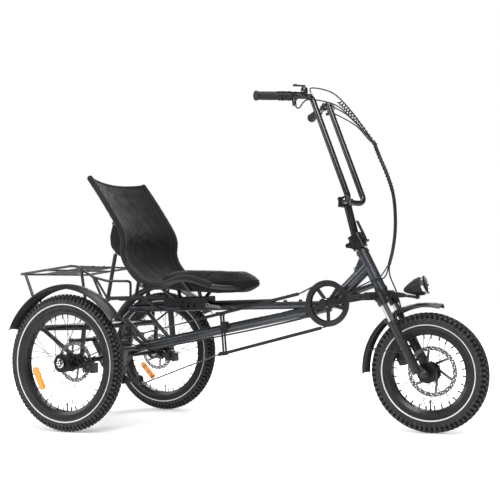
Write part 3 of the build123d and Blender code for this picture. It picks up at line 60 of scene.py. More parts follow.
def middle(node):
    """Centre of a node's box."""
    low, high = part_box(node)
    return (low + high) / 2


REAR_X = middle("rear_right_tyre").x


def at(x, y, z):
    """Place in millimetres: x ahead of the rear axle, y to the left, z above the ground."""
    return Vector((REAR_X + x * MM, y * MM, z * MM))


HEAD_FOOT = at(1138, 0, 578)
HEAD_TILT = math.radians(25)
HEAD_AXIS = Vector((-math.sin(HEAD_TILT), 0, math.cos(HEAD_TILT)))
HEAD_FORE = Vector((math.cos(HEAD_TILT), 0, math.sin(HEAD_TILT)))


SIDES = ((-1, "right"), (1, "left"))


def steer(a, y, t):
    """Place by the steering axis: a forward of it, t up along it."""
    return HEAD_FOOT + HEAD_FORE * a * MM + ACROSS * y * MM + HEAD_AXIS * t * MM


# ------------------------------------------------------------------ materials
class Shader:
    """Small helper that wires a principled material."""

    def __init__(self, name):
        self.mat = bpy.data.materials.new(name)
        self.mat.use_nodes = True
        self.tree = self.mat.node_tree
        self.bsdf = self.tree.nodes["Principled BSDF"]

    def node(self, kind, **values):
        made = self.tree.nodes.new(kind)
        for key, value in values.items():
            if key in made.inputs:
                made.inputs[key].default_value = value
            else:
                setattr(made, key, value)
        return made

    def link(self, out, into):
        self.tree.links.new(out, into)

    def feed(self, **values):
        """Sets the surface's inputs by name, an underscore for each space; a socket is linked in."""
        for key, value in values.items():
            into = self.bsdf.inputs[key.replace("_", " ")]
            if isinstance(value, bpy.types.NodeSocket):
                self.link(value, into)
            else:
                into.default_value = value

    def coords(self):
        return self.node("ShaderNodeTexCoord").outputs["Object"]

    def texture(self, kind, output, **values):
        made = self.node("ShaderNodeTex" + kind, **values)
        self.link(self.coords(), made.inputs["Vector"])
        return made.outputs[output]

    def noise(self, scale, detail=3.0, stretch=None):
        source = self.coords()
        if stretch:
            mapping = self.node("ShaderNodeMapping")
            mapping.inputs["Scale"].default_value = stretch
            self.link(source, mapping.inputs["Vector"])
            source = mapping.outputs["Vector"]
        texture = self.node("ShaderNodeTexNoise", Scale=scale, Detail=detail)
        self.link(source, texture.inputs["Vector"])
        return texture.outputs["Fac"]

    def ramp(self, value, low, high, start, end):
        ramp = self.node("ShaderNodeMapRange")
        for key, number in (("From Min", start), ("From Max", end), ("To Min", low), ("To Max", high)):
            ramp.inputs[key].default_value = number
        self.link(value, ramp.inputs["Value"])
        return ramp.outputs["Result"]

    def mix(self, share, first, second):
        mixer = self.node("ShaderNodeMix", data_type="RGBA")
        for slot, value in ((6, first), (7, second)):
            if isinstance(value, tuple):
                mixer.inputs[slot].default_value = (*value, 1)
            else:
                self.link(value, mixer.inputs[slot])
        self.link(share, mixer.inputs[0])
        return mixer.outputs[2]

    def bump(self, height, strength, distance):
        bump = self.node("ShaderNodeBump", Strength=strength, Distance=distance)
        self.link(height, bump.inputs["Height"])
        last = self.bsdf.inputs["Normal"]
        if last.is_linked:
            self.link(last.links[0].from_socket, bump.inputs["Normal"])
        self.link(bump.outputs["Normal"], last)

    def edges(self):
        """1 on sharp convex edges, from how the bevelled normal leans."""
        bevel = self.node("ShaderNodeBevel", samples=4, Radius=0.0015)
        geometry = self.node("ShaderNodeNewGeometry")
        dot = self.node("ShaderNodeVectorMath", operation="DOT_PRODUCT")
        self.link(bevel.outputs["Normal"], dot.inputs[0])
        self.link(geometry.outputs["Normal"], dot.inputs[1])
        return self.ramp(dot.outputs["Value"], 1.0, 0.0, 0.75, 0.99)


def surface(name, dark, light, rough, metallic=0.0, coat=0.0, grain=(900, 0.1, 0.0003), blotch=9.0,
            edge_wear_and_highlight=None, stretch=None, weight=0.5):
    """Material with two tones of colour, uneven gloss, fine grain and, if asked, lighter convex edges: worn
    paint on the metal parts, and partly painted highlight on the tyre tread.
    """
    s = Shader(name)
    tone = s.ramp(s.noise(blotch, 5.0), 0.0, 1.0, 0.35, 0.68)
    colour = s.mix(tone, dark, light)
    if edge_wear_and_highlight:
        # lighter edges: real wear on the metal parts, partly painted highlight on the tread blocks
        chipped_and_lit_edges = s.node("ShaderNodeMath", operation="MULTIPLY")
        s.link(s.edges(), chipped_and_lit_edges.inputs[0])
        s.link(s.ramp(s.noise(140, 4.0), 0.0, 0.8, 0.5, 0.7), chipped_and_lit_edges.inputs[1])
        colour = s.mix(chipped_and_lit_edges.outputs[0], colour, edge_wear_and_highlight)
    gloss = s.ramp(s.noise(60, 4.0, stretch=stretch), rough[0], rough[1], 0.3, 0.7)
    s.feed(Base_Color=colour, Roughness=gloss, Metallic=metallic, Coat_Weight=coat, Coat_Roughness=0.12,
           Specular_IOR_Level=weight)
    s.bump(s.noise(grain[0], 2.0, stretch=stretch), grain[1], grain[2])
    return s.mat


def grey(value):
    """Neutral colour of one brightness."""
    return (value, value, value)


paint = surface("frame_paint", (0.045, 0.049, 0.056), (0.085, 0.092, 0.104), (0.24, 0.36), 0.7, 0.5,
                grain=(1500, 0.12, 0.0002), blotch=5.0, edge_wear_and_highlight=(0.25, 0.26, 0.28))
black_metal = surface("black_powder_coat", grey(0.008), grey(0.017), (0.30, 0.42), 0.0, 0.15,
                      grain=(1100, 0.25, 0.0003), edge_wear_and_highlight=grey(0.09), weight=0.6)
bar_black = surface("bar_black", grey(0.007), grey(0.014), (0.20, 0.30), 0.1, 0.3,
                    grain=(1400, 0.1, 0.0002), edge_wear_and_highlight=grey(0.1), weight=0.6)
moulded = surface("black_moulding", grey(0.009), grey(0.017), (0.42, 0.58), grain=(700, 0.35, 0.0004),
                  weight=0.4)
guard = surface("mudguard_moulding", grey(0.010), grey(0.018), (0.32, 0.44), grain=(500, 0.12, 0.0003),
                weight=0.4)
steel = surface("bright_steel", grey(0.30), grey(0.48), (0.20, 0.36), 1.0, grain=(600, 0.1, 0.0002),
                stretch=(1, 8, 1))
spoke_steel = surface("spoke_steel", grey(0.05), grey(0.11), (0.28, 0.42), 1.0, grain=(600, 0.1, 0.0002))
disc_steel = surface("disc_steel", grey(0.16), grey(0.28), (0.28, 0.42), 1.0, grain=(900, 0.2, 0.0002))
chain_steel = surface("oiled_chain", (0.10, 0.095, 0.09), (0.24, 0.235, 0.225), (0.25, 0.5), 1.0,
                      blotch=60.0, grain=(800, 0.2, 0.0003))
chrome = surface("chrome", grey(0.68), grey(0.80), (0.05, 0.12), 1.0, grain=(300, 0.04, 0.0002))
alloy = surface("satin_alloy", grey(0.30), grey(0.44), (0.28, 0.42), 1.0, grain=(900, 0.15, 0.0002))
rim_black = surface("rim_anodised", grey(0.016), grey(0.030), (0.30, 0.42), 0.5, 0.1,
                    grain=(900, 0.1, 0.0002), edge_wear_and_highlight=grey(0.12))
hub_black = surface("hub_black", grey(0.010), grey(0.022), (0.25, 0.38), 0.4, grain=(900, 0.15, 0.0002),
                    edge_wear_and_highlight=grey(0.15))
# tread blocks' rubber, painted lighter than the grooves as partly painted highlight, its edges lighter still
lit_tread_rubber = surface("lit_tread_rubber", grey(0.026), grey(0.054), (0.5, 0.7), grain=(350, 0.5, 0.0006),
                       blotch=30.0, edge_wear_and_highlight=grey(0.085), weight=0.45)
# the same rubber between the blocks, painted darker as painted shade in the grooves
shaded_groove_rubber = surface("shaded_groove_rubber", grey(0.006), grey(0.012), (0.7, 0.85), grain=(350, 0.5, 0.0006),
                        weight=0.15)
grip_rubber = surface("grip_rubber", grey(0.012), grey(0.022), (0.55, 0.72), grain=(800, 0.4, 0.0004))
cable_black = surface("cable_housing", grey(0.009), grey(0.016), (0.28, 0.4), grain=(900, 0.15, 0.0002))
thread = surface("stitching", grey(0.035), grey(0.06), (0.6, 0.8), grain=(1500, 0.5, 0.0003))


def tyre_side_material():
    """Sidewall rubber with fine rings about the wheel's own centre."""
    s = Shader("sidewall_rubber")
    colour = s.mix(s.ramp(s.noise(14, 5.0), 0, 1, 0.35, 0.7), grey(0.018), grey(0.034))
    s.feed(Base_Color=colour, Roughness=s.ramp(s.noise(50), 0.5, 0.68, 0.3, 0.7), Specular_IOR_Level=0.4)
    rings = s.texture("Wave", "Fac", wave_type="RINGS", rings_direction="Y", Scale=160.0, Distortion=0.0)
    s.bump(rings, 0.25, 0.0005)
    s.bump(s.noise(700, 2.0), 0.3, 0.0003)
    return s.mat


def stripe_material():
    """Pale reflective band with a woven, slightly soiled look."""
    s = Shader("reflective_band")
    grime = s.ramp(s.noise(22, 6.0), 0, 1, 0.45, 0.85)
    s.feed(Base_Color=s.mix(grime, grey(0.80), (0.56, 0.56, 0.55)), Roughness=0.35)
    s.bump(s.texture("Voronoi", "Distance", Scale=900.0), 0.3, 0.0003)
    return s.mat


def fabric_material(name, dark, light, pitch, sheen=0.05):
    """Knitted mesh: rows of small holes between raised cords, the holes painted near black as painted shade,
    with a soft sheen and faint dust.
    """
    s = Shader(name)
    cells = s.texture("Voronoi", "Distance", Scale=1.0 / pitch, Randomness=0.12)
    eyelet_depth_and_shade = s.ramp(cells, 0.0, 1.0, 0.15, 0.55)
    base = s.mix(s.ramp(s.noise(7, 6.0), 0, 1, 0.35, 0.7), dark, light)
    # holes painted near black: painted shade in their hollows
    s.feed(Base_Color=s.mix(eyelet_depth_and_shade, grey(0.002), base), Roughness=s.ramp(s.noise(30), 0.62, 0.82, 0.3, 0.7),
           Sheen_Weight=sheen, Sheen_Roughness=0.4, Specular_IOR_Level=0.18)
    s.bump(eyelet_depth_and_shade, 0.6, 0.0008)
    s.bump(s.noise(1.0 / (pitch * 0.35), 2.0), 0.3, 0.0005)
    s.bump(s.noise(26, 4.0), 0.25, 0.004)
    return s.mat


def prism_material(name, colour, prism_edge_shade):
    """Moulded reflector: bright colour over a grid of small prisms, darker towards each prism's rim as
    painted shade, and glowing in its own colour as painted light.
    """
    s = Shader(name)
    cells = s.texture("Voronoi", "Distance", Scale=330.0, Randomness=0.0, distance="CHEBYCHEV")
    tone = s.mix(s.ramp(cells, 0, 1, 0.1, 0.6), colour, prism_edge_shade)
    # painted glow: emission in the prisms' colour, though the reflector is no lamp
    s.feed(Base_Color=tone, Roughness=0.12, Coat_Weight=1.0, Subsurface_Weight=0.15, Subsurface_Scale=0.004,
           Emission_Color=tone, Emission_Strength=0.25)
    s.bump(cells, 0.7, 0.001)
    return s.mat


def glass_material():
    """Clear lamp glass with faint vertical flutes."""
    s = Shader("lamp_glass")
    s.feed(Base_Color=(0.95, 0.97, 1.0, 1), Transmission_Weight=1.0, Roughness=0.02)
    s.bump(s.texture("Wave", "Fac", bands_direction="Y", Scale=60.0, Distortion=0.3), 0.2, 0.0006)
    return s.mat


sidewall = tyre_side_material()
stripe = stripe_material()
mesh_fabric = fabric_material("sling_mesh", grey(0.008), grey(0.014), 0.0030, 0.02)
border_fabric = fabric_material("border_binding", grey(0.016), grey(0.028), 0.0016, 0.16)
pad_fabric = fabric_material("cushion_cover", grey(0.009), grey(0.017), 0.0026)
# second colour is painted shade at the prisms' rims; the material also glows as painted light
amber = prism_material("amber_prism", (1.0, 0.42, 0.03), (0.75, 0.17, 0.0))
clear_glass = glass_material()

LOOKS = {
    paint: ["main_frame"],
    black_metal: [
        "rear_subframe", "seat_rail", "derailleur", "rear_rack", "rear_calipers", "seat_frame",
        "backrest_frame", "strut_tubes", "differential", "chainring", "fork_crown", "fork_lowers",
        "front_caliper", "lever_clamps", "brake_lever_left", "brake_lever_right", "bearing_cups",
        "front_axle",
    ],
    bar_black: ["handlebar", "stem_riser", "stem_base", "stem_latch", "crank_arms"],
    moulded: ["chain_guide_tubes", "pedal_left", "pedal_right", "headlamp", "bell_striker"],
    guard: ["rear_fenders", "front_fender"],
    steel: ["axle_bearings", "strut_rods"],
    spoke_steel: ["rear_left_spokes", "rear_right_spokes", "front_spokes"],
    disc_steel: ["rear_left_rotor", "rear_right_rotor", "front_rotor"],
    chain_steel: ["cassette"],
    chrome: ["stanchions"],
    alloy: ["seat_clamp_lever"],
    rim_black: ["rear_left_rim", "rear_right_rim", "front_rim"],
    hub_black: ["rear_left_hub", "rear_right_hub", "front_hub"],
    amber: ["rear_left_reflector", "rear_right_reflector"],
}
for look, names in LOOKS.items():
    for name in names:
        data = NODES[name].data
        data.materials.clear()
        data.materials.append(look)


# ------------------------------------------------------------------ mesh helpers
def build(name, verts, faces, material, body=None, place=None):
    """New smooth mesh object; rides on a body if one is named."""
    mesh = bpy.data.meshes.new(name)
    mesh.from_pydata([tuple(v) for v in verts], [], faces)
    mesh.validate()
    mesh.shade_smooth()
    for one in material if isinstance(material, (list, tuple)) else [material]:
        mesh.materials.append(one)
    made = bpy.data.objects.new(name, mesh)
    if place is not None:
        made.matrix_world = place
    bpy.context.scene.collection.objects.link(made)
    if body:
        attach(made, body)
    return made


class Heap:
    """Collects many small shapes into one mesh."""

    def __init__(self):
        self.verts, self.faces, self.slots = [], [], []

    def add(self, verts, faces, slot=0, matrix=None):
        base = len(self.verts)
        self.verts += [matrix @ Vector(v) for v in verts] if matrix else [Vector(v) for v in verts]
        self.faces += [tuple(i + base for i in f) for f in faces]
        self.slots += [slot] * len(faces)

    def make(self, name, material, body=None, sharp=None, place=None):
        made = build(name, self.verts, self.faces, material, body, place)
        if len(made.data.polygons) == len(self.slots):
            made.data.polygons.foreach_set("material_index", self.slots)
        if sharp:
            made.data.set_sharp_from_angle(angle=math.radians(sharp))
        return made


def smooth_path(points, count):
    """Evenly stepped Catmull-Rom curve through the points."""
    p = [Vector(q) for q in points]
    spans = len(p) - 1
    out = []
    for i in range(count):
        u = i * spans / (count - 1)
        k = min(int(u), spans - 1)
        t = u - k
        b, c = p[k], p[k + 1]
        a = p[k - 1] if k else b * 2 - c
        d = p[k + 2] if k + 2 <= spans else c * 2 - b
        square, cube = 2 * a - 5 * b + 4 * c - d, 3 * b - a - 3 * c + d
        out.append(0.5 * (2 * b + (c - a) * t + square * t * t + cube * t ** 3))
    return out


def turned_frames(path, closed=False):
    """A normal and a binormal at each point, turned as little as possible."""
    n = len(path)
    tangents = []
    for i in range(n):
        ahead = path[(i + 1) % n] if closed or i + 1 < n else path[i]
        behind = path[i - 1] if closed or i else path[i]
        tangents.append((ahead - behind).normalized())
    side = tangents[0].orthogonal().normalized()
    frames = []
    for i, t in enumerate(tangents):
        if i:
            side = (side - t * side.dot(t)).normalized()
        frames.append((t, side, t.cross(side)))
    return frames


def tube_faces(rows, sides, closed=False):
    """Faces between rows of points, each row a ring; closed joins the last row to the first."""
    faces = []
    for i in range(rows if closed else rows - 1):
        here, ahead = i * sides, (i + 1) % rows * sides
        for j in range(sides):
            k = (j + 1) % sides
            faces.append((here + j, here + k, ahead + k, ahead + j))
    return faces


def sweep_shape(path, radius, sides=12, closed=False):
    """Verts and faces of a round tube; radius is a number or a function of share along and angle."""
    size = radius if callable(radius) else (lambda share, angle: radius)
    frames = turned_frames(path, closed)
    n = len(path)
    verts, faces = [], tube_faces(n, sides, closed)
    for i, (point, (_, u, v)) in enumerate(zip(path, frames)):
        for j in range(sides):
            a = 2 * math.pi * j / sides
            r = size(i / max(n - 1, 1), a)
            verts.append(point + (u * math.cos(a) + v * math.sin(a)) * r)
    if not closed:
        for end, sign in ((0, -1), (n - 1, 1)):
            reach = size(end / max(n - 1, 1), 0) * 0.6
            centre = path[end] + frames[end][0] * sign * reach
            ring = []
            for j in range(sides):
                p = verts[end * sides + j]
                ring.append(len(verts))
                verts.append(path[end] + (p - path[end]) * 0.7 + frames[end][0] * sign * reach * 0.75)
            tip = len(verts)
            verts.append(centre)
            for j in range(sides):
                k = (j + 1) % sides
                quad = (end * sides + j, end * sides + k, ring[k], ring[j])
                tri = (ring[j], ring[k], tip)
                faces.append(quad if sign < 0 else quad[::-1])
                faces.append(tri if sign < 0 else tri[::-1])
    return verts, faces


def tidy_normals(made):
    """Makes every face look outward."""
    bm = bmesh.new()
    bm.from_mesh(made.data)
    bmesh.ops.recalc_face_normals(bm, faces=bm.faces)
    bm.to_mesh(made.data)
    bm.free()
    return made


def piece(name, shape, material, body=None):
    """New piece with every face turned outward; shape is its verts and faces."""
    made = tidy_normals(build(name, *shape, material, body))
    return made


def cord(name, path, radius, sides, material, body=None, closed=False):
    """Piece swept round along a path."""
    return piece(name, sweep_shape(path, radius, sides, closed), material, body)


def lathe_shape(profile, sides=32, wobble=None):
    """Verts and faces of a profile of (radius, height) points turned about local z."""
    verts, faces = [], tube_faces(len(profile), sides)
    for r, h in profile:
        for j in range(sides):
            a = 2 * math.pi * j / sides
            k = wobble(a, r, h) if wobble else 1.0
            verts.append((r * k * math.cos(a), r * k * math.sin(a), h))
    faces.append(tuple(reversed(range(sides))))
    faces.append(tuple(range((len(profile) - 1) * sides, len(profile) * sides)))
    return verts, faces


def settle(made, body, node=None):
    """Rides a piece on a body, in place of a node if one is named."""
    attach(made, body)
    if node:
        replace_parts(made, node)
    return made


def turned(name, profile, sides, material, body, place, wobble=None, sharp=None, node=None):
    """Piece turned about local z, set by a matrix; sharp is the least angle of a hard edge, in radians."""
    made = tidy_normals(build(name, *lathe_shape(profile, sides, wobble), material, None, place))
    if sharp:
        made.data.set_sharp_from_angle(angle=sharp)
    return settle(made, body, node)


def shell_faces(rows_count, w):
    """Faces of two grids of points, w to a row, one behind the other and closed along the border."""
    total = rows_count * w
    faces = []
    for i in range(rows_count - 1):
        for j in range(w - 1):
            quad = (i * w + j, i * w + j + 1, (i + 1) * w + j + 1, (i + 1) * w + j)
            faces += [quad, tuple(total + q for q in reversed(quad))]
    border = [i * w for i in range(rows_count)] + [(rows_count - 1) * w + j for j in range(1, w)]
    border += [i * w + w - 1 for i in range(rows_count - 2, -1, -1)] + [j for j in range(w - 2, 0, -1)]
    for a, b in zip(border, border[1:] + border[:1]):
        faces.append((a, b, total + b, total + a))
    return faces


def coordinates(made):
    """A piece's points as an array."""
    return np.array([v.co for v in made.data.vertices], float)


def normals_of(made):
    """A piece's point normals as an array."""
    return np.array([v.normal for v in made.data.vertices], float)


def set_coordinates(made, co):
    """Moves a piece's points to an array of places."""
    made.data.vertices.foreach_set("co", co.astype(np.float32).ravel())


def facing(point, direction):
    """Matrix whose z looks along direction from a point."""
    turn = Vector(direction).normalized().to_track_quat("Z", "Y").to_matrix().to_4x4()
    return Matrix.Translation(point) @ turn


def to_flat(angle):
    """Cosine of the angle from the middle of the nearest side of a hexagon."""
    return math.cos((angle + math.pi / 6) % (math.pi / 3) - math.pi / 6)


def bolt_shape(radius, height):
    """Cap head with a rounded rim and a hexagon socket."""
    n = 24
    profile = [
        (radius, 0), (radius, height * 0.72), (radius * 0.95, height * 0.9), (radius * 0.82, height),
    ]
    verts, faces = lathe_shape(profile, n)
    faces = faces[:-1]
    rim, base = len(verts) - n, len(verts)
    for depth in (height, height * 0.4):
        for j in range(n):
            a = 2 * math.pi * j / n
            r = radius * 0.5 / max(to_flat(a), 0.5)
            verts.append((r * math.cos(a), r * math.sin(a), depth))
    for j in range(n):
        k = (j + 1) % n
        faces.append((rim + j, rim + k, base + k, base + j))
        faces.append((base + j, base + k, base + n + k, base + n + j))
    faces.append(tuple(range(base + n, base + 2 * n)))
    return verts, faces


def hexagon(angle, r, h):
    """Radius factor that turns a circle into a rounded hexagon."""
    return min(1.0, 0.9 / to_flat(angle))


def nut_shape(radius, height):
    """Hexagon nut on a washer, with a domed cap."""
    profile = [(radius, 0.0), (radius, height * 0.5), (radius * 0.9, height * 0.55)]
    verts, faces = lathe_shape(profile, 48, hexagon)
    heap = Heap()
    heap.add(verts, faces)
    heap.add(*lathe_shape([(radius * 1.2, -0.0008), (radius * 1.2, 0.0006), (radius * 1.1, 0.0012)], 32))
    arc = [
        (radius * 0.72 * math.cos(a), height * 0.5 + height * 0.5 * math.sin(a))
        for a in (0, 0.3, 0.6, 0.9, 1.2, 1.45)
    ]
    heap.add(*lathe_shape(arc, 32))
    return heap.verts, heap.faces


# ------------------------------------------------------------------ tyres
TREAD_DEPTH, BAND_HALF, BAND_LIFT, BAND_TO_RIM = 0.0056, 0.0019, 0.0005, 0.0385
REAR_BAND, REAR_LUGS = 0.2265, 86
FRONT_BAND, FRONT_LUGS = 0.168, 68
TYRE_STEPS, SKIN = 160, 0.0002


def tyre_piece(node, body, band_r, lugs, name):
    """Knobby tyre about its own axle: casing, pale sidewall band and rows of tapered tread blocks."""
    low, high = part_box(node)
    centre = (low + high) / 2
    outer = (high.z - low.z) / 2 - SKIN
    section = (high.y - low.y) / 2 - SKIN
    ring = outer - section
    casing = section - TREAD_DEPTH
    heap = Heap()
    # casing profile from bead to bead, split where the band begins and ends
    reach = band_r - ring
    # the angles round the section where the band begins and ends
    band = [math.acos((reach + d) / casing) for d in (BAND_HALF, -BAND_HALF)]
    stops = [2.45, 2.3, 2.1, band[1] + 0.12, band[1] + 0.02, band[1], band[0], band[0] - 0.02, band[0] - 0.1]

    def on_band(a):
        """Whether an angle round the section is on the pale band."""
        return band[0] - 0.001 <= a <= band[1] + 0.001

    angles = sorted(stops + [1.2, 1.0, 0.8, 0.6, 0.4, 0.2, 0.0], reverse=True)
    rim_low, rim_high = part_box(node.replace("tyre", "rim"))
    bead_r, bead_y = (rim_high.z - rim_low.z) / 2 - 0.002, (rim_high.y - rim_low.y) / 2 - 0.001
    profile = [(bead_r, -bead_y, 2.6)]
    for side in (-1, 1):
        for a in angles if side < 0 else reversed(angles[:-1]):
            reach = casing + (BAND_LIFT if on_band(a) else 0.0)
            profile.append((ring + reach * math.cos(a), side * reach * math.sin(a), a))
    profile.append((bead_r, bead_y, 2.6))
    n = len(profile)
    verts = [
        (r * math.cos(2 * math.pi * i / TYRE_STEPS), y, r * math.sin(2 * math.pi * i / TYRE_STEPS))
        for i in range(TYRE_STEPS) for r, y, _ in profile
    ]
    slots = []
    for j in range(n):
        m = (j + 1) % n
        mid = (profile[j][2] + profile[m][2]) / 2
        off_centre = abs(profile[j][1] + profile[m][1]) > 0.01
        slots.append(1 if m and off_centre and on_band(mid) else 3 if mid < 1.3 else 0)
    heap.add(verts, tube_faces(TYRE_STEPS, n, closed=True))
    heap.slots = slots * TYRE_STEPS
    # tread blocks, neighbours staggered: (place around, share of the pitch, first and last angle across)
    pitch = 2 * math.pi / lugs
    rows = []
    for i in range(lugs):
        rows.append((i * pitch, 0.62, -0.16, 0.16))
        for side in (-1, 1):
            rows.append((i * pitch + pitch * 0.5, 0.56, side * 0.24, side * 0.52))
            rows.append((i * pitch, 0.54, side * 0.60, side * 1.02))
            rows.append((i * pitch, 0.46, side * 1.03, side * (1.36 if i % 2 else 1.56)))
    for around, fill, a0, a1 in rows:
        half = pitch * fill / 2
        block = []
        for level, inset in ((casing - 0.0006, 0.0), (section, 0.16)):
            for u, v in ((-1, 0), (1, 0), (1, 1), (-1, 1)):
                a = a0 + (a1 - a0) * (v * (1 - 2 * inset) + inset)
                w = around + half * u * (1 - inset)
                share = 1.0 if abs(a) < 1.025 else 0.62 if abs(a) < 1.2 else 0.3
                height = level if share == 1.0 else casing + (level - casing) * share
                r = ring + height * math.cos(a)
                block.append((r * math.cos(w), height * math.sin(a), r * math.sin(w)))
        quads = [(4, 5, 6, 7), (0, 1, 5, 4), (1, 2, 6, 5), (2, 3, 7, 6), (3, 0, 4, 7), (3, 2, 1, 0)]
        heap.add(block, quads, 2)
    # blocks take the lighter rubber (partly painted highlight), the casing between them the darker groove
    # rubber (painted shade)
    looks = [sidewall, stripe, lit_tread_rubber, shaded_groove_rubber]
    made = heap.make(name, looks, None, 32, Matrix.Translation(centre))
    settle(tidy_normals(made), body, node)
    # valve, fixed to the rim
    rim_inner = band_r - BAND_TO_RIM
    valve = Heap()
    stem = [
        (0.0042, -0.004), (0.0042, 0.0), (0.0026, 0.003), (0.0026, 0.022), (0.0036, 0.0225),
        (0.0036, 0.031), (0.0028, 0.032),
    ]
    valve.add(*lathe_shape(stem, 20), 0, facing(Vector((0, 0, rim_inner)), (0, 0, -1)))
    half_turn = Matrix.Translation(centre) @ Matrix.Rotation(math.pi, 4, "Y")
    settle(tidy_normals(valve.make(name + "_valve", moulded, None, 40, half_turn)), body)
    return centre


LEFT_AXLE = tyre_piece("rear_left_tyre", "rear_left_wheel", REAR_BAND, REAR_LUGS, "tyre_rear_left")
RIGHT_AXLE = tyre_piece("rear_right_tyre", "rear_right_wheel", REAR_BAND, REAR_LUGS, "tyre_rear_right")
FRONT_AXLE = tyre_piece("front_tyre", "front_wheel", FRONT_BAND, FRONT_LUGS, "tyre_front")


# ------------------------------------------------------------------ chain
PITCH = 12.7
RING = (980, 465, 40 * PITCH / 2 / math.pi, 1)
# each wheel is (ahead, up, radius, side the chain wraps), in millimetres
WHEELS = [
    RING, (850, 562, 60, -1), (0, 266, 32 * PITCH / 2 / math.pi, 1), (50, 170, 22, -1), (138, 177, 22, 1),
    (533, 127, 150, -1),
]


def tangent(first, second):
    """Straight run from one wheel to the next."""
    (x1, z1, r1, s1), (x2, z2, r2, s2) = first, second
    r1, r2 = s1 * r1, s2 * r2
    angle = math.atan2(z2 - z1, x2 - x1) - math.acos((r1 - r2) / math.hypot(x2 - x1, z2 - z1))
    nx, nz = math.cos(angle), math.sin(angle)
    return (x1 + r1 * nx, z1 + r1 * nz), (x2 + r2 * nx, z2 + r2 * nz)


def chain_line():
    """Closed line through the pins, as dense points in millimetres."""
    runs = [tangent(WHEELS[i], WHEELS[(i + 1) % len(WHEELS)]) for i in range(len(WHEELS))]
    points = []
    for i, (start, end) in enumerate(runs):
        x, z, r, turn = WHEELS[(i + 1) % len(WHEELS)]
        leave = runs[(i + 1) % len(runs)][0]
        run_x, run_z = end[0] - start[0], end[1] - start[1]
        for k in range(60):
            points.append((start[0] + run_x * k / 60, start[1] + run_z * k / 60))
        a0, a1 = math.atan2(end[1] - z, end[0] - x), math.atan2(leave[1] - z, leave[0] - x)
        arc = (a1 - a0) * turn % (2 * math.pi)
        for k in range(30):
            a = a0 + turn * arc * k / 30
            points.append((x + r * math.cos(a), z + r * math.sin(a)))
    return points


def spaced(points, step):
    """Points one chain pitch apart along a closed line, the step eased so that they close."""
    p = np.array(points + points[:1])
    lengths = np.r_[0, np.cumsum(np.hypot(*(p[1:] - p[:-1]).T))]
    count = round(lengths[-1] / step / 2) * 2
    where = np.linspace(0, lengths[-1], count, endpoint=False)
    return np.c_[np.interp(where, lengths, p[:, 0]), np.interp(where, lengths, p[:, 1])]


pins = spaced(chain_line(), PITCH)
links = Heap()
chain_y = middle("chain").y
PLATE_SIDES = 20
PLATE_FACES = tube_faces(2, PLATE_SIDES)
PLATE_FACES += [tuple(reversed(range(PLATE_SIDES))), tuple(range(PLATE_SIDES, 2 * PLATE_SIDES))]
for i, (a, b) in enumerate(zip(pins, np.roll(pins, -1, axis=0))):
    start, end = at(a[0], 0, a[1]), at(b[0], 0, b[1])
    start.y = end.y = chain_y
    along = (end - start).normalized()
    lift = along.cross(ACROSS)
    wide = 0.0029 if i % 2 else 0.0020
    outline = []
    for q in range(PLATE_SIDES):
        t = 2 * math.pi * q / PLATE_SIDES
        bulge = 0.0034 - 0.0010 * math.sin(t) ** 6
        pin = start if math.cos(t) < 0 else end
        outline.append(pin + along * (0.0034 * math.cos(t)) + lift * (bulge * math.sin(t)))
    for y in (-wide - 0.0004, wide - 0.0004):
        verts = [p + ACROSS * y for p in outline] + [p + ACROSS * (y + 0.0009) for p in outline]
        links.add(verts, PLATE_FACES)
    links.add(*lathe_shape([(0.0031, -0.0022), (0.0031, 0.0022)], 10), 0, facing(start, ACROSS))
    links.add(*lathe_shape([(0.0014, -0.0032), (0.0014, 0.0032)], 8), 0, facing(start, ACROSS))
settle(tidy_normals(links.make("chain_links", chain_steel, None, 35)), "frame", "chain")


# ------------------------------------------------------------------ sling seat
EDGE = [
    (14, 190, 1002), (50, 190, 953), (84, 190, 904), (118, 190, 853), (150, 190, 802), (166, 190, 771),
    (173, 190, 742), (171, 190, 716), (169, 190, 692), (180, 190, 655), (204, 190, 619), (236, 188, 586),
    (272, 182, 564), (312, 177, 556), (352, 178, 558), (390, 180, 569), (430, 178, 578), (470, 170, 574),
    (505, 158, 562), (536, 142, 549),
]
SLING_LONG, SLING_WIDE = 190, 90
edge_line = smooth_path([Vector(p) for p in EDGE], SLING_LONG)
flat_line = [Vector((p.x, 0, p.z)) for p in edge_line]

# short random creases: (share along, share across, angle, length, width, height)
draw = random.Random(4)
CREASES = [
    (draw.uniform(0.24, 0.56), draw.uniform(-0.75, 0.75), draw.uniform(-0.9, 0.9), draw.uniform(0.035, 0.09),
     draw.uniform(0.007, 0.014), draw.uniform(0.0006, 0.0020) * draw.choice((-1, 1, 1)))
    for _ in range(70)
]

# forward-facing normals of the profile
NORMALS = []
for tangent_along, _, _ in turned_frames(flat_line):
    n = Vector((tangent_along.z, 0, -tangent_along.x))
    NORMALS.append(n if n.dot(NORMALS[-1] if NORMALS else AHEAD) > 0 else -n)


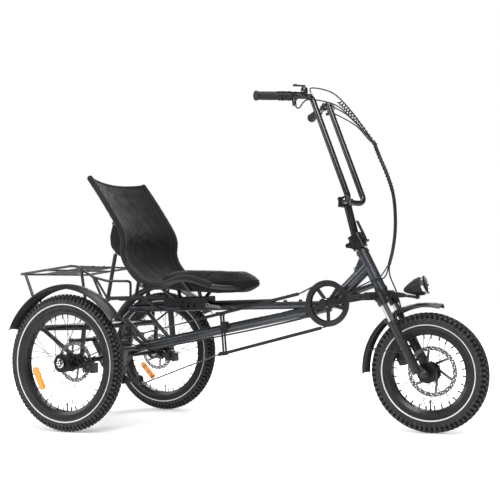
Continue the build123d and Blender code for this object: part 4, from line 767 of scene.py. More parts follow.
def sling_point(i, across):
    """Place on the sling's middle surface in millimetres: row i, across from -1 to 1."""
    share = i / (SLING_LONG - 1)
    p = edge_line[i]
    half = p.y - 9
    belly = (1 - across * across)
    sag = 26 * (1 - 0.4 * share) if share < 0.5 else 20 * max(0.0, 1 - (share - 0.5) / 0.16)
    sag += 12 * math.exp(-((share - 0.33) / 0.09) ** 2)
    point = Vector((p.x, across * half, p.z)) + NORMALS[i] * (-sag * belly)
    ripple = 0.0
    for s0, c0, angle, length, width, height in CREASES:
        du, dv = (across - c0) * 0.18, (share - s0) * 0.95
        x = du * math.cos(angle) + dv * math.sin(angle)
        y = -du * math.sin(angle) + dv * math.cos(angle)
        ripple += height * math.exp(-(x / width) ** 2 - (y / length) ** 2)
    # tension folds that fan from the waist of the edge tubes
    pull = math.exp(-((share - 0.40) / 0.12) ** 2) * abs(across) ** 1.5
    ripple += 0.0007 * pull * math.sin(across * 26 + share * 60)
    return point + NORMALS[i] * (ripple / MM * (1 - abs(across) ** 6))


def scaled(p):
    """Millimetres from the rear axle to the row frame."""
    return at(p.x, p.y, p.z)


def sling_mesh():
    """Double-skinned sling between the two edge tubes."""
    verts = []
    for thick in (1.6, -1.6):
        for i in range(SLING_LONG):
            for j in range(SLING_WIDE + 1):
                p = sling_point(i, -1 + 2 * j / SLING_WIDE)
                verts.append(scaled(p + NORMALS[i] * thick))
    return verts, shell_faces(SLING_LONG, SLING_WIDE + 1)


def bend_over_hinge(made):
    """Turns the fabric's faces outward and bakes its placement into its mesh."""
    tidy_normals(made)
    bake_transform(made)
    return made


def sleeve_r(share, angle):
    """Sleeve radius: fuller over the hinge, gathered a little along its length."""
    fuller = 1.6 * math.exp(-((share - 0.62) / 0.07) ** 2)
    gather = 0.45 * math.sin(share * 210 + 2 * math.sin(angle * 2)) * math.sin(share * 31)
    return (12.4 + fuller + gather) * MM


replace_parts(bend_over_hinge(build("sling", *sling_mesh(), mesh_fabric)), "backrest_mesh")
for side, label in SIDES:
    line = [scaled(Vector((p.x, side * p.y, p.z))) for p in edge_line]
    bend_over_hinge(build(f"edge_sleeve_{label}", *sweep_shape(line, sleeve_r, 22), border_fabric))
    # double row of stitches along the sleeve's seam
    for row, reach in enumerate((0.93, 0.90)):
        dots = Heap()
        for i in range(3, SLING_LONG - 3):
            p, q = sling_point(i, side * reach), sling_point(i + 1, side * reach)
            a = scaled(p + NORMALS[i] * 1.9)
            b = scaled(p + (q - p) * 0.62 + NORMALS[i] * 1.9)
            mid = (a + b) / 2 + (NORMALS[i] * 0.5) * MM
            dots.add(*sweep_shape([a, mid, b], 0.0007, 6))
        bend_over_hinge(dots.make(f"sleeve_stitches_{label}_{row}", thread))

# hem along the top edge, and binding strips across the back
top_hem = [scaled(sling_point(0, -1 + 2 * k / 40) + NORMALS[0] * 0.5) for k in range(41)]
cord("top_hem", top_hem, 0.0045, 14, border_fabric, "backrest")
STRAP_WIDTH = 4.4


def strap(name, share):
    """Webbing strap across the back face of the sling at a share of its length."""
    verts = []
    across_count = 48
    for j in range(across_count + 1):
        c = -0.985 + 1.97 * j / across_count
        for ds, out in ((-0.5, 2.1), (-0.5, 4.2), (0.5, 4.2), (0.5, 2.1)):
            where = share * (SLING_LONG - 1) + ds * STRAP_WIDTH
            i = int(where)
            p, q = sling_point(i, c), sling_point(i + 1, c)
            verts.append(scaled(p + (q - p) * (where - i) - NORMALS[i] * out))
    faces = tube_faces(across_count + 1, 4)
    faces += [(0, 1, 2, 3), tuple(across_count * 4 + k for k in (3, 2, 1, 0))]
    made = piece(name, (verts, faces), border_fabric, "backrest")
    made.data.set_sharp_from_angle(angle=0.7)


for number, share in enumerate((0.10, 0.17, 0.44)):
    strap(f"back_strap_{number}", share)


# the pouch's rear outline down its middle, as (height, distance ahead of the rear axle)
POUCH = [
    (842, 140), (838, 120), (828, 92), (814, 74), (782, 62), (747, 56), (717, 63), (696, 84), (682, 104),
    (670, 136),
]
POUCH_HALF, POUCH_THICK, GAP = 152, 2.4, 8


def pocket():
    """Full pouch slung behind the back and over the bowed tube: a creased shell with a bound top edge."""
    rear_line = smooth_path([(z, x, 0) for z, x in POUCH], 60)
    edge_z, edge_x = [p[2] for p in reversed(EDGE[:14])], [p[0] for p in reversed(EDGE[:14])]
    wide_count = 84
    behind = []
    for j in range(wide_count + 1):
        column = [sling_point(i, (-1 + 2 * j / wide_count) * 0.84) for i in range(99, -1, -3)]
        behind.append(([p.z for p in column], [p.x for p in column]))
    verts = []
    for skin in (0, 1):
        for z, x_side, _ in rear_line:
            front = float(np.interp(z, edge_z, edge_x)) - GAP
            deepest = front + (x_side - front) / 0.83 + skin * POUCH_THICK
            low = max(0.0, (800 - z) / 130)
            for j in range(wide_count + 1):
                v = -1 + 2 * j / wide_count
                bulge = max(0.0, 1 - abs(v) ** 5) ** 0.5
                crease = 2.6 * noise.noise(Vector((v * 5, z / 24, 2)))
                crease += 1.6 * math.sin(v * 19 + z / 13) * (1 - abs(v))
                x = front + (deepest - front) * bulge + crease * bulge * (0.5 + low)
                # dented where the strut runs past it, and kept behind the sling
                beside_strut = math.exp(-((abs(v) * POUCH_HALF - 100) / 17) ** 4)
                x += max(0.0, 85 - x) * beside_strut * min(1.0, max(0.0, (756 - z) / 12))
                x = min(x, float(np.interp(z, *behind[j])) - GAP + skin * POUCH_THICK)
                verts.append(at(x, v * (POUCH_HALF - skin * POUCH_THICK), z - 3 * low * math.cos(v * 9)))
    w, rows_count = wide_count + 1, len(rear_line)
    made = piece("back_pouch", (verts, shell_faces(rows_count, w)), pad_fabric, "backrest")
    for label, row in (("top", 0), ("low", rows_count - 1)):
        rim = [made.data.vertices[row * w + j].co.copy() for j in range(0, w, 2)]
        cord(f"pouch_binding_{label}", rim, 0.0026, 10, border_fabric, "backrest")


pocket()


# ------------------------------------------------------------------ cushion
# half width, top and bottom of the pad at distances ahead of the rear axle
PAD_HALF = {
    290: 118, 310: 146, 340: 160, 400: 163, 450: 158, 500: 138, 545: 114, 590: 92, 630: 72, 658: 50, 672: 28,
    678: 8,
}
PAD_TOP = {290: 578, 330: 596, 400: 598, 470: 594, 520: 588, 570: 586, 610: 584, 645: 574, 665: 562, 676: 549}
PAD_BOTTOM = {290: 556, 330: 545, 400: 540, 450: 534, 520: 527, 600: 527, 640: 530, 665: 536, 676: 543}
PAD_BACK, PAD_FRONT = 290, 677.5


def along_pad(x, table):
    """A table's value at a distance ahead of the rear axle."""
    return float(np.interp(x, list(table), list(table.values())))


def pad_mesh():
    """Closed pad: rounded plan, crowned top that rises over the thighs and rolls down at the nose."""
    verts = []
    long_count, round_count = 90, 56
    for i in range(long_count + 1):
        x = PAD_BACK + (PAD_FRONT - PAD_BACK) * (1 - math.cos(math.pi * i / long_count)) / 2
        half = along_pad(x, PAD_HALF) * (1 if 0 < i < long_count else 0.55)
        hi, lo = along_pad(x, PAD_TOP), along_pad(x, PAD_BOTTOM)
        mid, thick = (hi + lo) / 2, (hi - lo) / 2
        for j in range(round_count):
            a = 2 * math.pi * j / round_count
            c, s = math.cos(a), math.sin(a)
            y = half * math.copysign(abs(c) ** 0.42, c)
            z = mid + thick * math.copysign(abs(s) ** 0.55, s)
            if s > 0:
                dip = 6 * math.exp(-(y / 40) ** 2) * math.exp(-((x - 400) / 90) ** 2)
                z += 5 * (1 - (y / half) ** 2) - dip
            verts.append(at(x, y, z))
    faces = tube_faces(long_count + 1, round_count)
    faces.append(tuple(range(round_count)))
    faces.append(tuple(reversed(range(long_count * round_count, (long_count + 1) * round_count))))
    return verts, faces


def inflate(made, voxel, pressure, cap, frames):
    """Remeshes a pad, swells it with a pressurised cloth, and keeps the result within a cap of its start."""
    view = bpy.context.view_layer
    view.objects.active = made
    remesh = made.modifiers.new("remesh", "REMESH")
    remesh.mode, remesh.voxel_size = "VOXEL", voxel
    with bpy.context.temp_override(object=made, active_object=made):
        bpy.ops.object.modifier_apply(modifier="remesh")
    start = coordinates(made)
    cloth = made.modifiers.new("cloth", "CLOTH")
    setting = cloth.settings
    setting.use_pressure = True
    setting.uniform_pressure_force = pressure
    setting.effector_weights.gravity = 0
    setting.quality = 5
    setting.mass = 0.3
    setting.tension_stiffness = setting.compression_stiffness = 12
    setting.bending_stiffness = 0.6
    cloth.collision_settings.use_collision = False
    for step in range(1, frames + 1):
        bpy.context.scene.frame_set(step)
    evaluated = made.evaluated_get(bpy.context.evaluated_depsgraph_get())
    moved = coordinates(evaluated)
    made.modifiers.remove(cloth)
    shift = moved - start
    length = np.linalg.norm(shift, axis=1, keepdims=True)
    shift *= np.minimum(1.0, cap / np.maximum(length, 1e-9))
    set_coordinates(made, start + shift)
    bpy.context.scene.frame_set(1)
    made.data.shade_smooth()
    return made


def shrunk(verts, amount):
    """The pad's points drawn in toward its middle line, so that it can swell back."""
    return [v + Vector((0, -math.copysign(min(abs(v.y), amount), v.y), 0)) for v in verts]


PAD_SHRINK, VOXEL, PRESSURE, SWELL_CAP, CLOTH_FRAMES = 0.006, 0.005, 4.0, 0.010, 20
pad_verts, pad_faces = pad_mesh()
cushion = build("cushion", shrunk(pad_verts, PAD_SHRINK), pad_faces, pad_fabric)
inflate(cushion, VOXEL, PRESSURE, SWELL_CAP, CLOTH_FRAMES)


def groove(made, line, width, depth):
    """Presses a sewn channel into a mesh along a line of points."""
    points = np.array([tuple(p) for p in line])
    co, normals = coordinates(made), normals_of(made)
    low = points.min(0) - width * 3
    high = points.max(0) + width * 3
    near = np.where(np.all((co > low) & (co < high), axis=1))[0]
    gap = np.linalg.norm(co[near][:, None, :2] - points[None, :, :2], axis=2).min(axis=1)
    press = depth * np.exp(-(gap / width) ** 2) * (normals[near][:, 2] > 0.2)
    co[near] -= normals[near] * press[:, None]
    set_coordinates(made, co)
    made.data.update()


# three sewn channels: one along each thigh and one across
thigh = ((318, 98), (400, 104), (480, 94), (560, 62), (632, 34))
channel_plans = [[(x, side * y) for x, y in thigh] for side in (-1, 1)]
channel_plans.append([(506, -126), (520, -62), (524, 0), (520, 62), (506, 126)])
CHANNEL_WIDTH, CHANNEL_DEPTH = 0.0055, 0.0040
channels = [smooth_path([at(x, y, 590) for x, y in plan], 140) for plan in channel_plans]
subdivide = cushion.modifiers.new("finer", "SUBSURF")
subdivide.levels = subdivide.render_levels = 1
with bpy.context.temp_override(object=cushion, active_object=cushion):
    bpy.ops.object.modifier_apply(modifier="finer")
for channel in channels:
    groove(cushion, channel, CHANNEL_WIDTH, CHANNEL_DEPTH)
co = coordinates(cushion)
bulge = np.array([
    0.0016 * noise.noise(Vector((x * 14, y * 26, 3))) + 0.0008 * noise.noise(Vector((x * 45, y * 60, 8)))
    for x, y, _ in co
])
set_coordinates(cushion, co + normals_of(cushion) * bulge[:, None])
tidy_normals(cushion)
cushion.data.shade_smooth()
settle(cushion, "seat", "seat_cushion")
skin = BVHTree.FromObject(cushion, bpy.context.evaluated_depsgraph_get())


def on_top(point):
    """Where a vertical ray meets the cushion's top."""
    hit = skin.ray_cast(point + UP * 0.2, -UP)
    return hit[0], hit[1]


for number, channel in enumerate(channels):
    dashes = Heap()
    for a, b in list(zip(channel, channel[1:]))[3:-3]:
        for offset in (-0.0035, 0.0035):
            sideways = (b - a).cross(UP).normalized() * offset
            start, end = on_top(a + sideways), on_top(a + (b - a) * 0.6 + sideways)
            if start[0] is None or end[0] is None:
                continue
            lift = start[1] * 0.0004
            dash = [start[0] + lift, (start[0] + end[0]) / 2 + lift * 2, end[0] + lift]
            dashes.add(*sweep_shape(dash, 0.0006, 6))
    piece(f"cushion_stitches_{number}", (dashes.verts, dashes.faces), thread, "seat")

# piping round the widest line of the pad
loop = []
for k in range(160):
    a = 2 * math.pi * k / 160
    ray = Vector((math.cos(a) * 1.25, math.sin(a), 0)).normalized()
    hit = skin.ray_cast(at(470, 0, 562) + ray * 0.5, -ray)
    if hit[0] is not None:
        loop.append(hit[0] - hit[1] * 0.0004)
cord("cushion_piping", loop, 0.0027, 10, border_fabric, "seat", closed=True)


# ------------------------------------------------------------------ handlebar dressing
BAR_END, BAR_CORNER = (813, 250, 1222), (958, 80, 1232)


def grip_axes(side):
    """Bar end, inward direction, forward direction and up direction of one grip."""
    (x0, y0, z0), (x1, y1, z1) = BAR_END, BAR_CORNER
    end, corner = at(x0, side * y0, z0), at(x1, side * y1, z1)
    run = (corner - end).normalized()
    lift = (UP - run * run.z).normalized()
    return end, run, lift.cross(run) * side, lift


def grip_place(side, inward, ahead=0.0, up=0.0):
    """Point measured in millimetres along, ahead of and above a grip's axis."""
    end, run, fore, lift = grip_axes(side)
    return end + (run * inward + fore * ahead + lift * up) * MM


def grip_turn(side, inward):
    """Matrix whose z runs inward along the grip."""
    _, run, fore, lift = grip_axes(side)
    turn = Matrix((fore, run.cross(fore), run)).transposed().to_4x4()
    return Matrix.Translation(grip_place(side, inward)) @ turn


def ribbed(angle, r, h):
    """Grip radius factor: flutes along the palm's part."""
    flute = 0.035 * (1 if math.sin(angle * 22) > 0.1 else 0)
    return 1.0 - flute * (0.018 < h < 0.082)


def knurled(angle, r, h):
    """Radius factor of the cable adjusters' finger ridges."""
    return 1 - 0.06 * (math.sin(angle * 12) > 0)


GRIP = [
    (0.004, -0.0052), (0.0125, -0.0050), (0.0150, -0.0036), (0.0178, -0.0015), (0.0180, 0.0035),
    (0.0176, 0.0070), (0.0152, 0.0090),
]
for k in range(30):
    h = 0.0105 + k * 0.0026
    swell = 0.0152 + 0.0007 * math.sin((h - 0.01) / 0.078 * math.pi)
    GRIP += [(swell - 0.0005 * (k % 3 == 0), h), (swell - 0.0005 * (k % 3 == 0), h + 0.0018)]
GRIP += [(0.0150, 0.0895), (0.0170, 0.0905), (0.0172, 0.0960), (0.0160, 0.0978), (0.0112, 0.0980)]
BARREL = [(0.0048, 0), (0.0062, 0.001), (0.0062, 0.008), (0.0050, 0.0095), (0.0045, 0.019), (0.0030, 0.0195)]
for side, label in SIDES:
    fore, lift = grip_axes(side)[2:]
    turned(f"grip_{label}", GRIP, 132, grip_rubber, "bar", grip_turn(side, 0), ribbed,
           math.radians(35), "grips")
    # clamp screw and lever pivot bolt
    for name, point, direction, radius in (
        ("lever_clamp_screw", grip_place(side, 176, -15, 3), -fore, 0.0032),
        ("lever_pivot", grip_place(side, 176, 28, 9.5), lift, 0.0045),
    ):
        shape = bolt_shape(radius, 0.003)
        made = build(f"{name}_{label}", *shape, steel, None, facing(point, direction))
        made.data.set_sharp_from_angle(angle=0.6)
        settle(made, "bar")
    # cable adjuster barrel
    barrel_from, barrel_to = grip_place(side, 200, 12.5), grip_place(side, 219, 18.5)
    turned(f"barrel_adjuster_{label}", BARREL, 36, black_metal, "bar",
           facing(barrel_from, barrel_to - barrel_from), knurled, 0.6)

# gear twist ring with its window, and the bell
fore, lift = grip_axes(-1)[2:]
twist = [
    (0.0113, 0.0), (0.0160, 0.0), (0.0176, 0.0016), (0.0176, 0.0100), (0.0168, 0.0125), (0.0168, 0.0270),
    (0.0176, 0.0295), (0.0176, 0.0355), (0.0160, 0.0370), (0.0113, 0.0370),
]
turned("twist_ring", twist, 96, grip_rubber, "twist_grip", grip_turn(-1, 101),
       lambda a, r, h: 1 - 0.05 * (math.cos(a * 16) > 0.2) * (r > 0.0165), 0.6, "twist_shifter")
turned("gear_window", [(0.006, -0.002), (0.006, 0.0004), (0.0045, 0.0012)], 28, clear_glass, "bar",
       facing(grip_place(-1, 150, 6, 16.3), lift + fore * 0.3))
thimble = [(0.0125, 0.0), (0.0135, 0.006), (0.0132, 0.014), (0.0105, 0.0205), (0.006, 0.0235)]
turned("bell_dome", thimble, 40, bar_black, "bar", facing(grip_place(-1, 196, 0, 12), lift))

# cables from the controls into the spiral sleeve
HOUSING = 0.0026
FERRULE = [(0.0036, -0.002), (0.0036, 0.009), (0.0030, 0.0105)]
gather = at(1172, -2, 1038)
runs = {
    "brake_right": [
        grip_place(-1, 216, 17.5), at(957, -80, 1262), at(1009, -70, 1250), at(1051, -60, 1224),
        at(1098, -38, 1163), at(1138, -16, 1096), gather,
    ],
    "brake_left": [
        grip_place(1, 216, 17.5), at(988, 78, 1212), at(1040, 62, 1176), at(1086, 40, 1132),
        at(1136, 14, 1080), gather + ACROSS * 0.006,
    ],
    "shift": [
        grip_place(-1, 148, 8, -34), grip_place(-1, 156, 26, -50), at(950, -92, 1218), at(1036, -52, 1196),
        at(1092, -30, 1142), at(1136, -14, 1086), gather - ACROSS * 0.006,
    ],
    "shift_return": [
        grip_place(1, 168, 16, -16), at(1000, 84, 1180), at(1084, 44, 1124), at(1134, 20, 1070),
        gather + ACROSS * 0.003 - AHEAD * 0.005,
    ],
}
for label, points in runs.items():
    cord(f"cable_{label}", smooth_path(points, 80), HOUSING, 12, cable_black, "bar")
    turned(f"ferrule_{label}", FERRULE, 20, steel, "bar", facing(points[0], points[1] - points[0]))

bundle = smooth_path([at(1052, -46, 1206), at(1090, -34, 1160), at(1130, -14, 1102), gather], 90)
bands = []
for i, (point, (_, u, v)) in enumerate(zip(bundle, turned_frames(bundle))):
    a = i * 1.1
    bands.append(point + (u * math.cos(a) + v * math.sin(a)) * 0.0062)
cord("cable_wrap", smooth_path(bands, 900), 0.0024, 8, cable_black, "bar")


def bend_at_head(made):
    """Bakes the piece's placement into its mesh."""
    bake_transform(made)
    return made


sleeve_line = smooth_path([
    at(1166, -2, 1048), at(1182, 0, 1000), at(1210, 0, 927), at(1228, 1, 862), at(1234, 2, 798),
    at(1231, 4, 722), at(1219, 6, 654), at(1202, 7, 598),
], 260)
core = bend_at_head(cord("cable_sleeve", sleeve_line, 0.0062, 16, cable_black))
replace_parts(core, "control_cables")
coil = []
frames_along = turned_frames(sleeve_line)
for i in range(10, 110):
    for k in range(2):
        point, (_, u, v) = sleeve_line[i], frames_along[i]
        step = (sleeve_line[i + 1] - point) * (k / 2)
        a = (i + k / 2) * 0.9
        coil.append(point + step + (u * math.cos(a) + v * math.sin(a)) * 0.0068)
bend_at_head(cord("spiral_wrap", coil, 0.0017, 6, moulded))

# the sleeve parts below: one cable down to the front caliper, two back along the frame
front_run = [
    at(1203, 7, 602), at(1200, 16, 560), at(1214, 40, 500), at(1224, 60, 430), at(1226, 66, 360),
    at(1236, 60, 300), at(1246, 50, 275),
]
front_path = smooth_path(front_run, 120)
made = cord("cable_front_brake", front_path, HOUSING, 12, cable_black)
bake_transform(made)
for number, side in enumerate((-1, 1)):
    first = [
        at(1202, 7 + side * 3, 600), at(1178, side * 26, 556), at(1140, side * 29, 540),
        at(1090, side * 22, 520), at(1046, side * 18, 494),
    ]
    made = cord(f"cable_loop_{number}", smooth_path(first, 90), HOUSING, 12, cable_black)
    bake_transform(made)
    rear = [
        at(1046, side * 18, 494), at(1006, side * 25, 470), at(940, side * 26, 438), at(860, side * 23, 412),
        at(600, side * 16, 363), at(300, side * 14, 316), at(170, side * 20, 296), at(110, side * 60, 318),
        at(76, side * 140, 330), at(64, side * 230, 300), at(80, side * 300, 290),
    ]
    rear_path = smooth_path(rear, 220)
    cord(f"cable_frame_{number}", rear_path, HOUSING, 10, cable_black, "frame")


# ------------------------------------------------------------------ headlamp
LAMP_TILT = math.radians(12)
LAMP_AXIS = Vector((math.cos(LAMP_TILT), 0, math.sin(LAMP_TILT)))
LAMP_FACE = at(1334, 0, 520)


def lamp_part(name, profile, material, offset=0.0, sides=48, wobble=None, sharp=35, node=None):
    """Turned piece on the lamp's axis, offset forward from the front face in metres."""
    place = facing(LAMP_FACE + LAMP_AXIS * offset, LAMP_AXIS)
    turned(name, profile, sides, material, "lamp", place, wobble, math.radians(sharp), node)


bezel = [
    (0.0290, -0.006), (0.0345, -0.006), (0.0352, -0.002), (0.0349, 0.0022), (0.0330, 0.0040),
    (0.0300, 0.0036), (0.0292, 0.0010),
]
dish = [(0.0298, 0.0010), (0.0270, -0.0030), (0.0200, -0.0062), (0.0120, -0.0074), (0.0040, -0.0078)]
glass = [(0.0292, 0.0005), (0.0290, 0.0024), (0.0240, 0.0042), (0.0150, 0.0056), (0.0050, 0.0062)]
lamp_part("lamp_bezel", bezel, chrome, sides=64)
lamp_part("lamp_reflector", dish, chrome, sharp=8,
          wobble=lambda a, r, h: 1 - 0.10 * abs(math.sin(a * 1.5)) * (r < 0.025))
emitter = [(0.0050, -0.009), (0.0050, -0.005), (0.0030, -0.004)]
lamp_part("lamp_emitter", emitter, stripe, sides=24)
lamp_part("lamp_glass", glass, clear_glass, node="headlamp_lens")
for k, r in enumerate((0.0342, 0.0338, 0.0333, 0.0327)):
    fin = [(r - 0.001, 0), (r, 0.0006), (r, 0.0018), (r - 0.001, 0.0024)]
    lamp_part(f"lamp_fin_{k}", fin, moulded, -0.010 - 0.0048 * k)


# ------------------------------------------------------------------ pedals
def rounded_box(size, bevel):
    """Bevelled box about the origin."""
    bm = bmesh.new()
    bmesh.ops.create_cube(bm, size=1.0)
    bmesh.ops.scale(bm, vec=size, verts=bm.verts)
    bmesh.ops.bevel(bm, geom=list(bm.edges), offset=bevel, segments=2, profile=0.6, affect="EDGES")
    verts = [v.co.copy() for v in bm.verts]
    index = {v: i for i, v in enumerate(bm.verts)}
    faces = [tuple(index[v] for v in f.verts) for f in bm.faces]
    bm.free()
    return verts, faces


BRACKET_X, BRACKET_Z, CRANK_FACE = 980, 465, 97
PEDAL_CAP = [(0.009, -0.001), (0.009, 0.002), (0.0065, 0.0035)]
CRANK_CAP = [
    (0.0125, -0.0005), (0.0125, 0.0016), (0.0105, 0.0028), (0.0098, 0.0028), (0.0098, 0.0020),
    (0.004, 0.0020),
]
for side, label in SIDES:
    low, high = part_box(f"pedal_{label}")
    centre = (low + high) / 2
    pedal = f"{label}_pedal"
    heap = Heap()
    for end in (-1, 1):
        for face in (-1, 1):
            for k in range(9):
                spot = centre + Vector((end * 0.032, (k - 4) * 0.0080, face * 0.0133))
                heap.add(*rounded_box((0.019, 0.0030, 0.0016), 0.0006), 0, Matrix.Translation(spot))
    heap.make(f"pedal_treads_{label}", moulded, pedal, 30)
    end_y = (high.y if side > 0 else low.y) - side * 0.0006
    outside = facing(Vector((centre.x, end_y, centre.z)), (0, side, 0))
    turned(f"pedal_cap_{label}", PEDAL_CAP, 32, moulded, pedal, outside)
    turned(f"crank_cap_{label}", CRANK_CAP, 40, moulded, "crank",
           facing(at(BRACKET_X, side * CRANK_FACE, BRACKET_Z), (0, side, 0)), None, 0.5)


# ------------------------------------------------------------------ fasteners
def bolts(name, body, places, radius, height, material=steel, nut=False):
    """One piece of like fasteners: each place is (point, direction)."""
    heap = Heap()
    for point, direction in places:
        shape = nut_shape(radius, height) if nut else bolt_shape(radius, height)
        heap.add(*shape, 0, facing(point, direction))
    tidy_normals(heap.make(name, material, body, 28))


ROTOR_BOLT_RING, REAR_NUT_SEAT, FRONT_NUT_SEAT = 0.022, 0.0105, 0.0086


def rotor_bolts(name, body, x, y, z, direction):
    """Six bolts round an axle, square to y."""
    places = []
    for k in range(6):
        a = 2 * math.pi * k / 6
        out = Vector((ROTOR_BOLT_RING * math.cos(a), 0.0, ROTOR_BOLT_RING * math.sin(a)))
        places.append((Vector((x, y, z)) + out, direction))
    bolts(name, body, places, 0.0036, 0.0022)


for side, label, centre in ((1, "left", LEFT_AXLE), (-1, "right", RIGHT_AXLE)):
    body = f"rear_{label}_wheel"
    low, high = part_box(f"rear_{label}_hub")
    nut_y = (high.y if side > 0 else low.y) - side * REAR_NUT_SEAT
    nut_place = (Vector((centre.x, nut_y, centre.z)), (0, side, 0))
    bolts(f"axle_nut_rear_{label}", body, [nut_place], 0.0150, 0.0150, chrome, True)
    low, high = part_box(f"rear_{label}_rotor")
    face_y = low.y if side > 0 else high.y
    rotor_bolts(f"rotor_bolts_rear_{label}", body, centre.x, face_y, centre.z, (0, -side, 0))
low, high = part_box("front_axle")
front_ends = [
    (Vector((FRONT_AXLE.x, low.y + FRONT_NUT_SEAT, FRONT_AXLE.z)), (0, -1, 0)),
    (Vector((FRONT_AXLE.x, high.y - FRONT_NUT_SEAT, FRONT_AXLE.z)), (0, 1, 0)),
]
bolts("axle_nuts_front", "fork_slider", front_ends, 0.0110, 0.0120, black_metal, True)
rotor_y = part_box("front_rotor")[1].y
rotor_bolts("rotor_bolts_front", "front_wheel", FRONT_AXLE.x, rotor_y, FRONT_AXLE.z, (0, 1, 0))
CALIPER_BOLTS = ((-9, 14), (-9, -14), (9, 0))
for name, body, radius, height, places in (
    ("stem_clamp_bolts", "bar", 0.0042, 0.0040,
     [(at(1024, y, z), (-1, 0, 0)) for y in (-15, 15) for z in (826, 850)]),
    ("crown_pinch_bolts", "steering", 0.0040, 0.0035, [(steer(-19, y, -103), -HEAD_FORE) for y in (-34, 34)]),
    ("front_caliper_bolts", "fork_slider", 0.0040, 0.0030,
     [(steer(-40, 57, t), (0, 1, 0)) for t in (-312, -340)]),
    ("caliper_bolts_left", "frame", 0.0036, 0.0026,
     [(at(66 + dx, 307, 248 + dz), (0, 1, 0)) for dx, dz in CALIPER_BOLTS]),
    ("caliper_bolts_right", "frame", 0.0036, 0.0026,
     [(at(66 + dx, -307, 248 + dz), (0, -1, 0)) for dx, dz in CALIPER_BOLTS]),
    ("collar_bolt", "frame", 0.0040, 0.0045, [(at(863, y, 456), (0, y, 0)) for y in (-9, 9)]),
    ("pivot_bolts", "seat", 0.0065, 0.0050, [(at(262, side * 201, 558), (0, side, 0)) for side in (-1, 1)]),
):
    bolts(name, body, places, radius, height)


# ------------------------------------------------------------------ spoke nipples
NIPPLE = [(0.0013, 0), (0.0020, 0.0015), (0.0021, 0.011), (0.0026, 0.0125), (0.0026, 0.0165)]


def nipples(label, centre, rim_r, count):
    """Steel nipples where the spokes enter the rim."""
    heap = Heap()
    for i in range(count):
        side, lead = (1 if i % 2 else -1), (1 if (i // 2) % 2 else -1)
        a = 2 * math.pi * (i + 0.5) / count
        out = Vector((math.cos(a), 0, math.sin(a)))
        spot = centre + out * (rim_r - 0.0165) + ACROSS * ((side * 3.5 + lead * 1.3) * MM)
        heap.add(*lathe_shape(NIPPLE, 10), 0, facing(spot, out))
    piece(f"nipples_{label}", (heap.verts, heap.faces), spoke_steel, f"{label}_wheel")


nipples("rear_left", LEFT_AXLE, 0.188, 36)
nipples("rear_right", RIGHT_AXLE, 0.188, 36)
nipples("front", FRONT_AXLE, 0.134, 28)


# ------------------------------------------------------------------ weld beads
def weld(name, start, end, radius, tilt=0.0, material=black_metal):
    """Rippled bead round a tube at a point, its plane square to the tube or tipped."""
    axis = (end - start).normalized()
    u = axis.orthogonal().normalized()
    v = axis.cross(u)
    loop = []
    for k in range(140):
        a = 2 * math.pi * k / 140
        spread = u * math.cos(a) + v * math.sin(a)
        ripple = 0.00035 * math.sin(a * 34)
        loop.append(start + spread * (radius + 0.0002 + ripple) + axis * (tilt * math.cos(a) + ripple))
    cord(name, loop, 0.0016, 8, material, "frame", closed=True)


for name, start, end, radius, tilt in (
    ("boom_rear", at(992, 0, 480), at(1098, 0, 602), 0.0232, 0.004),
    ("boom_head", at(1092, 0, 583), at(980, 0, 465), 0.0232, 0.008),
    ("upper_rear", at(82, 0, 465), at(900, 0, 461), 0.0152, 0.002),
    ("lower_rear", at(160, 0, 313), at(900, 0, 438), 0.0192, 0.002),
    ("post", at(270, 0, 356), at(263, 0, 452), 0.0122, 0.002),
):
    weld(f"weld_{name}", start, end, radius, tilt, paint)
for number, side in enumerate((-1, 1)):
    weld(f"weld_deck_front_{number}", at(25, side * 228, 398), at(25, 0, 398), 0.0112)
    weld(f"weld_deck_cross_{number}", at(-105, side * 238, 398), at(-105, 0, 398), 0.0092)
    weld(f"weld_carrier_{number}", at(-52, side * 246, 345), at(-52, 0, 345), 0.0092)


# ------------------------------------------------------------------ camera, light and floor
CAMERA_PLACE = at(2256.1, -3090.9, 501.1)
CAMERA_LENS, CAMERA_SENSOR = 64.27, 36.0
CAMERA_ANGLES = (27.619, -2.951, -1.847)


def photo_camera():
    """Long lens, slightly below level, seen from the right and a little ahead."""
    lens = bpy.data.cameras.new("camera")
    lens.lens, lens.sensor_width = CAMERA_LENS, CAMERA_SENSOR
    lens.clip_end = 60
    camera = bpy.data.objects.new("camera", lens)
    azimuth, elevation, roll = (math.radians(angle) for angle in CAMERA_ANGLES)
    level = math.cos(elevation)
    back = Vector((math.sin(azimuth) * level, -math.cos(azimuth) * level, math.sin(elevation)))
    right = Vector((math.cos(azimuth), math.sin(azimuth), 0))
    up = back.cross(right)
    tilted_right = right * math.cos(roll) + up * math.sin(roll)
    tilted_up = -right * math.sin(roll) + up * math.cos(roll)
    turn = Matrix((tilted_right, tilted_up, back)).transposed().to_4x4()
    camera.matrix_world = Matrix.Translation(CAMERA_PLACE) @ turn
    bpy.context.scene.collection.objects.link(camera)
    bpy.context.scene.camera = camera


def softbox(name, place, target, size, power):
    """Rectangular area light aimed at a point."""
    light = bpy.data.lights.new(name, "AREA")
    light.shape, light.size, light.size_y, light.energy = "RECTANGLE", size[0], size[1], power
    made = bpy.data.objects.new(name, light)
    made.matrix_world = facing(Vector(place), Vector(place) - Vector(target))
    bpy.context.scene.collection.objects.link(made)


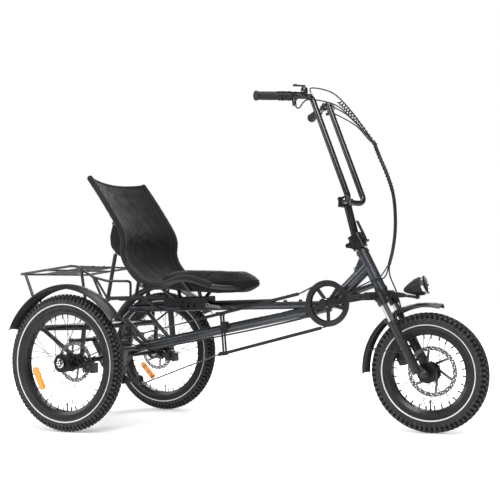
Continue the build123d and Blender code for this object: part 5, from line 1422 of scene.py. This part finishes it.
photo_camera()
softbox("key", (1.6, -3.2, 3.4), (0, 0, 0.5), (2.6, 1.8), 150)
softbox("side", (-3.4, -2.0, 1.8), (0, 0, 0.5), (1.6, 2.2), 60)
softbox("back", (-1.0, 3.4, 2.6), (0, 0, 0.6), (3.0, 1.4), 90)
softbox("top", (0.2, 0.0, 4.2), (0, 0, 0), (3.4, 2.4), 110)


def studio_world():
    """White to the camera, and a dimmer grey to everything that reflects it."""
    world = bpy.data.worlds.new("studio")
    world.use_nodes = True
    tree = world.node_tree
    dim = tree.nodes["Background"]
    dim.inputs["Color"].default_value, dim.inputs["Strength"].default_value = (1, 1, 1, 1), 0.17
    white = tree.nodes.new("ShaderNodeBackground")
    white.inputs["Color"].default_value, white.inputs["Strength"].default_value = (1, 1, 1, 1), 1.0
    path, mixer = tree.nodes.new("ShaderNodeLightPath"), tree.nodes.new("ShaderNodeMixShader")
    tree.links.new(path.outputs["Is Camera Ray"], mixer.inputs[0])
    tree.links.new(dim.outputs[0], mixer.inputs[1])
    tree.links.new(white.outputs[0], mixer.inputs[2])
    tree.links.new(mixer.outputs[0], tree.nodes["World Output"].inputs["Surface"])
    bpy.context.scene.world = world


studio_world()
paper = Shader("floor_paper")
paper.feed(Base_Color=(0.93, 0.93, 0.93, 1), Roughness=0.9, Specular_IOR_Level=0.0)
paper.feed(Emission_Color=(1, 1, 1, 1))
span = paper.node("ShaderNodeVectorMath", operation="LENGTH")
paper.link(paper.coords(), span.inputs[0])
fade = paper.ramp(span.outputs["Value"], 0.30, 1.0, 0.9, 2.2)
seen = paper.node("ShaderNodeMath", operation="MULTIPLY")
paper.link(fade, seen.inputs[0])
to_camera = paper.node("ShaderNodeLightPath").outputs["Is Camera Ray"]
paper.link(paper.ramp(to_camera, 0.05, 1.0, 0, 1), seen.inputs[1])
paper.feed(Emission_Strength=seen.outputs[0])
floor_low = min(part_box(f"{wheel}_tyre")[0].z for wheel in ("front", "rear_left", "rear_right"))
FLOOR_HALF = 14.0
corners = [(FLOOR_HALF * x, FLOOR_HALF * y, 0) for x, y in ((-1, -1), (1, -1), (1, 1), (-1, 1))]
floor = build("floor", corners, [(0, 1, 2, 3)], paper.mat)
floor.location.z = floor_low

bpy.context.scene.view_settings.view_transform = "Standard"
bpy.context.view_layer.update()
